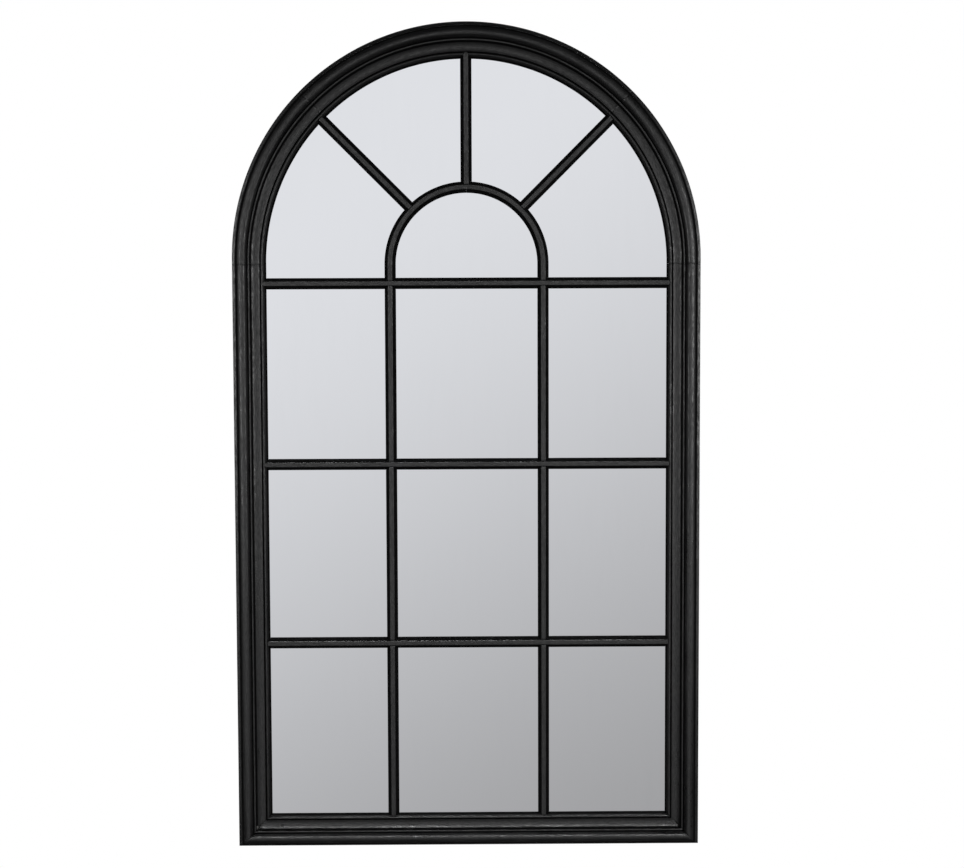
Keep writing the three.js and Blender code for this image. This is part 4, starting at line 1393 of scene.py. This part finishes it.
class MIRROR_OT_hangers(bpy.types.Operator):
    """Make the straps, rings, screws and bumpers on the back"""

    bl_idname = "arched_mirror.hangers"
    bl_label = "Hangers and bumpers"

    def execute(self, context):
        h = settings("mirror_hangers")
        layout = Layout()
        zinc = zinc_plate()
        x = layout.half - h.hanger_inset
        z = layout.foot + h.hinge_height
        for place, side in (("left", -1), ("right", 1)):
            self.strap(place, zinc)
            self.ring(place, side * x, z, h, zinc)
        self.screws(x, z, h, zinc)
        self.bumpers(layout, h)
        return {"FINISHED"}

    def strap(self, place, material):
        """The folded strap with its sheared edges eased."""
        node = f"hanger_strap_{place}"
        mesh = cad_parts[node].data.copy()
        piece = link(bpy.data.objects.new(f"zinc_{node}", mesh))
        work = bmesh.new()
        work.from_mesh(mesh)
        bmesh.ops.remove_doubles(work, verts=work.verts, dist=1e-6)
        bmesh.ops.dissolve_limit(
            work, angle_limit=math.radians(1), verts=work.verts, edges=work.edges
        )
        work.to_mesh(mesh)
        work.free()
        mesh.materials.clear()
        mesh.materials.append(material)
        bevel = piece.modifiers.new("Bevel", "BEVEL")
        bevel.width, bevel.segments = 0.18 * MM, 2
        bevel.limit_method, bevel.angle_limit = "ANGLE", math.radians(50)
        made_real(piece, f"zinc_{node}")
        smooth_by_angle(piece.data)
        finished(piece, [node])

    def ring(self, place, x, z, h, material):
        """The bent wire ring, hanging against its strap."""
        node = f"hanger_ring_{place}"
        half, leg, corner = h.ring_half_width, h.ring_leg, h.ring_corner
        points = arc_points(half - corner, -corner, corner, corner, 90, 0, 6)
        points += arc_points(0, -leg, half, half, 0, -180, 32)
        points += arc_points(-half + corner, -corner, corner, corner, 180, 90, 6)
        count = len(points)
        spots = [(px, 0, pz) for px, pz in points]
        piece = mesh_piece(f"zinc_{node}", spots, (), [(i, (i + 1) % count) for i in range(count)])
        values = {"Wire radius": h.ring_wire, "Sides": 20, "Finish": material}
        grown(piece, f"zinc_{node}", "Round wire", wire_tree, values)
        turned_out(piece.data)
        tilt = Matrix.Rotation(h.ring_tilt, 4, "X")
        piece.data.transform(Matrix.Translation((x, h.hinge_offset, z)) @ tilt)
        finished(piece, [node], f"ring_{place}")

    def screws(self, x, z, h, material):
        """Four pan-head screws with cross recesses."""
        head, rim = h.screw_head_height, 0.3 * h.screw_head_height
        shank = h.screw_radius
        profile = [(0, -h.screw_length), (shank * 0.3, -h.screw_length + shank * 0.6)]
        pitch, turns = shank * 0.8, 6
        for step in range(turns):
            y = -h.screw_length + shank * 1.6 + step * pitch
            profile += [(shank * 0.78, y), (shank, y + pitch * 0.5)]
        profile += [(shank * 0.78, 0), (h.screw_head_radius, 0), (h.screw_head_radius, rim)]
        dome = arc_points(0, rim, h.screw_head_radius, head - rim, 8, 82, 7)
        profile += [(r, y) for r, y in dome]
        profile += [(0, head)]
        part = lathe("hanger_screw", profile, 28)
        arm, slot = h.screw_head_radius * 0.62, h.recess_width / 2
        cross = [
            (-arm, -slot), (-slot, -slot), (-slot, -arm), (slot, -arm), (slot, -slot), (arm, -slot),
            (arm, slot), (slot, slot), (slot, arm), (-slot, arm), (-slot, slot), (-arm, slot),
        ]
        recess = prism("recess", cross, -head * 1.5, -(head - h.recess_depth))
        with_solids(part, [recess], "DIFFERENCE")
        smooth_by_angle(part.data, 40)
        places, nodes = [], []
        for number, (place, side) in enumerate((("left", -1), ("right", 1))):
            for order, drop in (("upper", h.upper_screw_drop), ("lower", h.lower_screw_drop)):
                spin = math.radians(17 + 31 * number + (52 if order == "lower" else 0))
                places.append(((side * x, h.strap_thickness, z - drop), (0.0, spin, 0.0)))
                nodes.append(f"hanger_screw_{place}_{order}")
        piece = placed_copies("zinc_hanger_screws", part, places, material)
        finished(piece, nodes)

    def bumpers(self, layout, h):
        """Two rubber pads at the lower corners."""
        radius, height = h.bumper_radius, h.bumper_height
        edge = height * 0.25
        dome = arc_points(radius - edge, height - edge, edge, edge, 0, 90, 8)
        foot = [(0, 0), (radius * 0.9, 0), (radius, radius * 0.08)]
        profile = [*foot, *dome, (radius * 0.3, height), (0, height)]
        part = lathe("bumper", profile, 48)
        x = layout.half - h.bumper_inset
        z = layout.foot + h.bumper_inset
        places = [((side * x, 0, z), (0.0, 0.0, 0.0)) for side in (-1, 1)]
        piece = placed_copies("rubber_bumpers", part, places, moulded_rubber())
        finished(piece, ["bumper_left", "bumper_right"])


def wire_tree():
    """A node tree that makes a closed round wire along the edges of a mesh ring."""
    inputs = {"Path": "Geometry", "Wire radius": "Float", "Sides": "Int", "Finish": "Material"}
    graph, given = new_tree("Round wire", inputs)
    path = graph.geometry("MeshToCurve", {"Mesh": given["Path"]})
    feeds = {"Resolution": given["Sides"], "Radius": given["Wire radius"]}
    circle = graph.geometry("CurvePrimitiveCircle", feeds)
    wire = graph.geometry("CurveToMesh", {"Curve": path, "Profile Curve": circle})
    wire = graph.geometry("SetShadeSmooth", {"Geometry": wire, "Shade Smooth": True})
    return end_tree(graph, wire, given["Finish"])


# ---- The stage ----


class MIRROR_OT_stage(bpy.types.Operator):
    """Make the floor, the surroundings, the lamps and the camera"""

    bl_idname = "arched_mirror.stage"
    bl_label = "Stage"

    def execute(self, context):
        stage = settings("mirror_stage")
        self.floor(stage, Layout())
        self.surroundings(context.scene, stage)
        aim, tall, square = (0, 0, 0.70), (0.6, 1.3), (1.6, 1.6)
        left = self.softbox("left_softbox", (-2.15, -1.70, 0.95), aim, tall, stage.left_power)
        right = self.softbox("right_softbox", (2.15, -1.70, 0.95), aim, tall, stage.right_power)
        origin, wide, gridded = (0, 0, 0), (1.6, 0.5), 45
        self.softbox("top_softbox", (0, -2.0, 2.05), origin, wide, stage.top_power, gridded)
        self.softbox("back_softbox", (0, 2.6, 1.8), aim, square, stage.back_power)
        self.keep_out_of_glass(left, right)
        self.camera(context.scene, stage)
        context.scene.view_settings.view_transform = "Standard"
        return {"FINISHED"}

    def floor(self, stage, layout):
        """A round pale floor that fades out at its rim."""
        sides, radius = 96, stage.floor_radius
        z = layout.foot - stage.floor_drop
        turns = [2 * math.pi * side / sides for side in range(sides)]
        rim = [(radius * math.cos(turn), radius * math.sin(turn), z) for turn in turns]
        piece = mesh_piece("studio_floor", rim, [tuple(range(sides))])
        material, graph, surface, place = new_material("studio_floor")
        looks = {"Base Color": rgba(stage.floor_tone), "Roughness": 0.9, "Specular IOR Level": 0.1}
        graph.feed(surface, looks)
        x, y, _ = graph.split(place)
        distance = graph.vector("LENGTH", graph.combine(x, y, 0.0))
        fade = graph.spread(distance, radius * 0.45, radius * 0.98)
        clear = graph.value("ShaderNodeBsdfTransparent")
        shown = {0: fade, 1: Value(graph, surface.outputs[0]), 2: clear}
        mixed = graph.value("ShaderNodeMixShader", shown)
        output = next(node for node in graph.tree.nodes if node.type == "OUTPUT_MATERIAL")
        graph.feed(output, {"Surface": mixed})
        piece.data.materials.append(material)
        piece.visible_glossy = False

    def surroundings(self, scene, stage):
        """A white studio for the camera, and what the glass and the paint show of it."""
        world = bpy.data.worlds.new("studio")
        scene.world = world
        world.use_nodes = True
        world.node_tree.nodes.clear()
        graph = Graph(world.node_tree)
        direction = graph.value("ShaderNodeTexCoord", output="Generated")
        x, y, z = graph.split(direction)
        white, dark = grey(1.0), grey(0.02)

        # In front of the glass the studio falls from pale to grey, and its ceiling is dark.
        slant = z - x * 0.5
        rise = graph.spread(slant, -0.393, 0.102)
        in_glass = graph.mix(rise, rgba(stage.below_tone), rgba(stage.above_tone))
        in_glass = graph.mix(graph.spread(y, -0.25, 0.35), in_glass, white)
        in_glass = graph.mix(graph.spread(z, 0.42, 0.75), in_glass, dark)

        # Paint and metal show a band of light at the eye line, dimmer at the camera's place and dark at
        # the sides, in a dark studio that is paler behind. It is dark again straight behind, where the
        # outer edges show it.
        aside = graph.math("ABSOLUTE", x)
        behind = graph.spread(y, 0.05, 0.30) * graph.spread(y, 0.86, 0.95, 1.0, 0.0)
        bands = (
            (graph.spread(z, -0.86, -0.55), grey(0.36)),
            (graph.spread(z, -0.28, -0.05), rgba(stage.eye_line_tone, stage.eye_line_light)),
            (graph.spread(z, 0.0, 0.15), (0.92, 0.92, 0.93, 1.0)),
            (graph.spread(z, 0.16, 0.45), dark),
            (graph.spread(aside, 0.0, 0.11, 0.25, 0.0), dark),
            (graph.spread(aside, 0.42, 0.66), dark),
            (graph.spread(y, -0.45, -0.05), dark),
            (behind, grey(0.16)),
        )
        in_paint = dark
        for amount, shade in bands:
            in_paint = graph.mix(amount, in_paint, shade)

        # A sharp first reflection is the glass, and any other is paint or metal.
        rays = graph.add("ShaderNodeLightPath").outputs
        ray = {name: Value(graph, rays[name]) for name in rays.keys()}
        first = graph.math("LESS_THAN", ray["Ray Depth"], 2.5)
        seen = graph.mix(ray["Is Singular Ray"] * first, in_paint, in_glass)
        seen = graph.mix(ray["Is Camera Ray"], seen, white)
        shown = graph.value("ShaderNodeBackground", {"Color": seen, "Strength": 1.0})
        fill = graph.value("ShaderNodeBackground", {"Color": white, "Strength": stage.fill})
        looks = graph.math("MAXIMUM", ray["Is Camera Ray"], ray["Is Glossy Ray"])
        looks = graph.math("MAXIMUM", looks, ray["Is Transmission Ray"])
        mixed = graph.value("ShaderNodeMixShader", {0: looks, 1: fill, 2: shown})
        graph.add("ShaderNodeOutputWorld", {"Surface": mixed})

    def softbox(self, name, place, aim, size, power, spread=180):
        """A rectangular lamp turned towards a point, with a spread in degrees."""
        light = bpy.data.lights.new(name, "AREA")
        light.shape = "RECTANGLE"
        light.size, light.size_y = size
        light.energy = power
        light.spread = math.radians(spread)
        lamp = link(bpy.data.objects.new(name, light))
        lamp.location = place
        towards = Vector(aim) - Vector(place)
        lamp.rotation_euler = towards.to_track_quat("-Z", "Y").to_euler()
        lamp.visible_camera = False
        return lamp

    def keep_out_of_glass(self, *lamps):
        """Keeps lamps that light all the rest from showing in the mirror plate."""
        flagged_off = bpy.data.collections.new("flagged_off")
        flagged_off.objects.link(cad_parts["mirror_plate"])
        flagged_off.collection_objects[0].light_linking.link_state = "EXCLUDE"
        for lamp in lamps:
            lamp.light_linking.receiver_collection = flagged_off

    def camera(self, scene, stage):
        """The camera at the photograph's place, angle and lens."""
        data = bpy.data.cameras.new("camera")
        data.sensor_width = 36
        data.lens = stage.lens
        camera = link(bpy.data.objects.new("camera", data))
        camera.rotation_mode = "QUATERNION"
        turned = Matrix.Rotation(-stage.camera_yaw, 3, "Z")
        turned = turned @ Matrix.Rotation(math.pi / 2 - stage.camera_pitch, 3, "X")
        turned = turned @ Matrix.Rotation(stage.camera_roll, 3, "Z")
        camera.location = (stage.camera_x, -stage.camera_distance, stage.camera_height)
        camera.rotation_quaternion = turned.to_quaternion()
        scene.camera = camera


# ---- Panel and registration ----

OPERATORS = (
    MIRROR_OT_frame_members,
    MIRROR_OT_glazing_bars,
    MIRROR_OT_glass_and_board,
    MIRROR_OT_glazing_points,
    MIRROR_OT_hangers,
    MIRROR_OT_stage,
)


class MIRROR_PT_sidebar(bpy.types.Panel):
    """Lists the mirror's pieces and settings"""

    bl_idname = "MIRROR_PT_sidebar"
    bl_label = "Arched window mirror"
    bl_space_type = "VIEW_3D"
    bl_region_type = "UI"
    bl_category = "Mirror"

    def draw(self, context):
        for operator in OPERATORS:
            self.layout.operator(operator.bl_idname)
        for name, group in SETTING_GROUPS.items():
            box = self.layout.box()
            box.label(text=group.__doc__)
            for setting in group.__annotations__:
                box.prop(getattr(context.scene, name), setting)


CLASSES = (*SETTING_GROUPS.values(), *OPERATORS, MIRROR_PT_sidebar)


def register():
    for item in CLASSES:
        bpy.utils.register_class(item)
    for name, group in SETTING_GROUPS.items():
        setattr(bpy.types.Scene, name, PointerProperty(type=group))


def unregister():
    for name in SETTING_GROUPS:
        delattr(bpy.types.Scene, name)
    for item in reversed(CLASSES):
        bpy.utils.unregister_class(item)


def main():
    register()
    pieces = ("frame_members", "glazing_bars", "glass_and_board", "glazing_points", "hangers")
    for name in (*pieces, "stage"):
        getattr(bpy.ops.arched_mirror, name)()


if __name__ == "__main__":
    main()
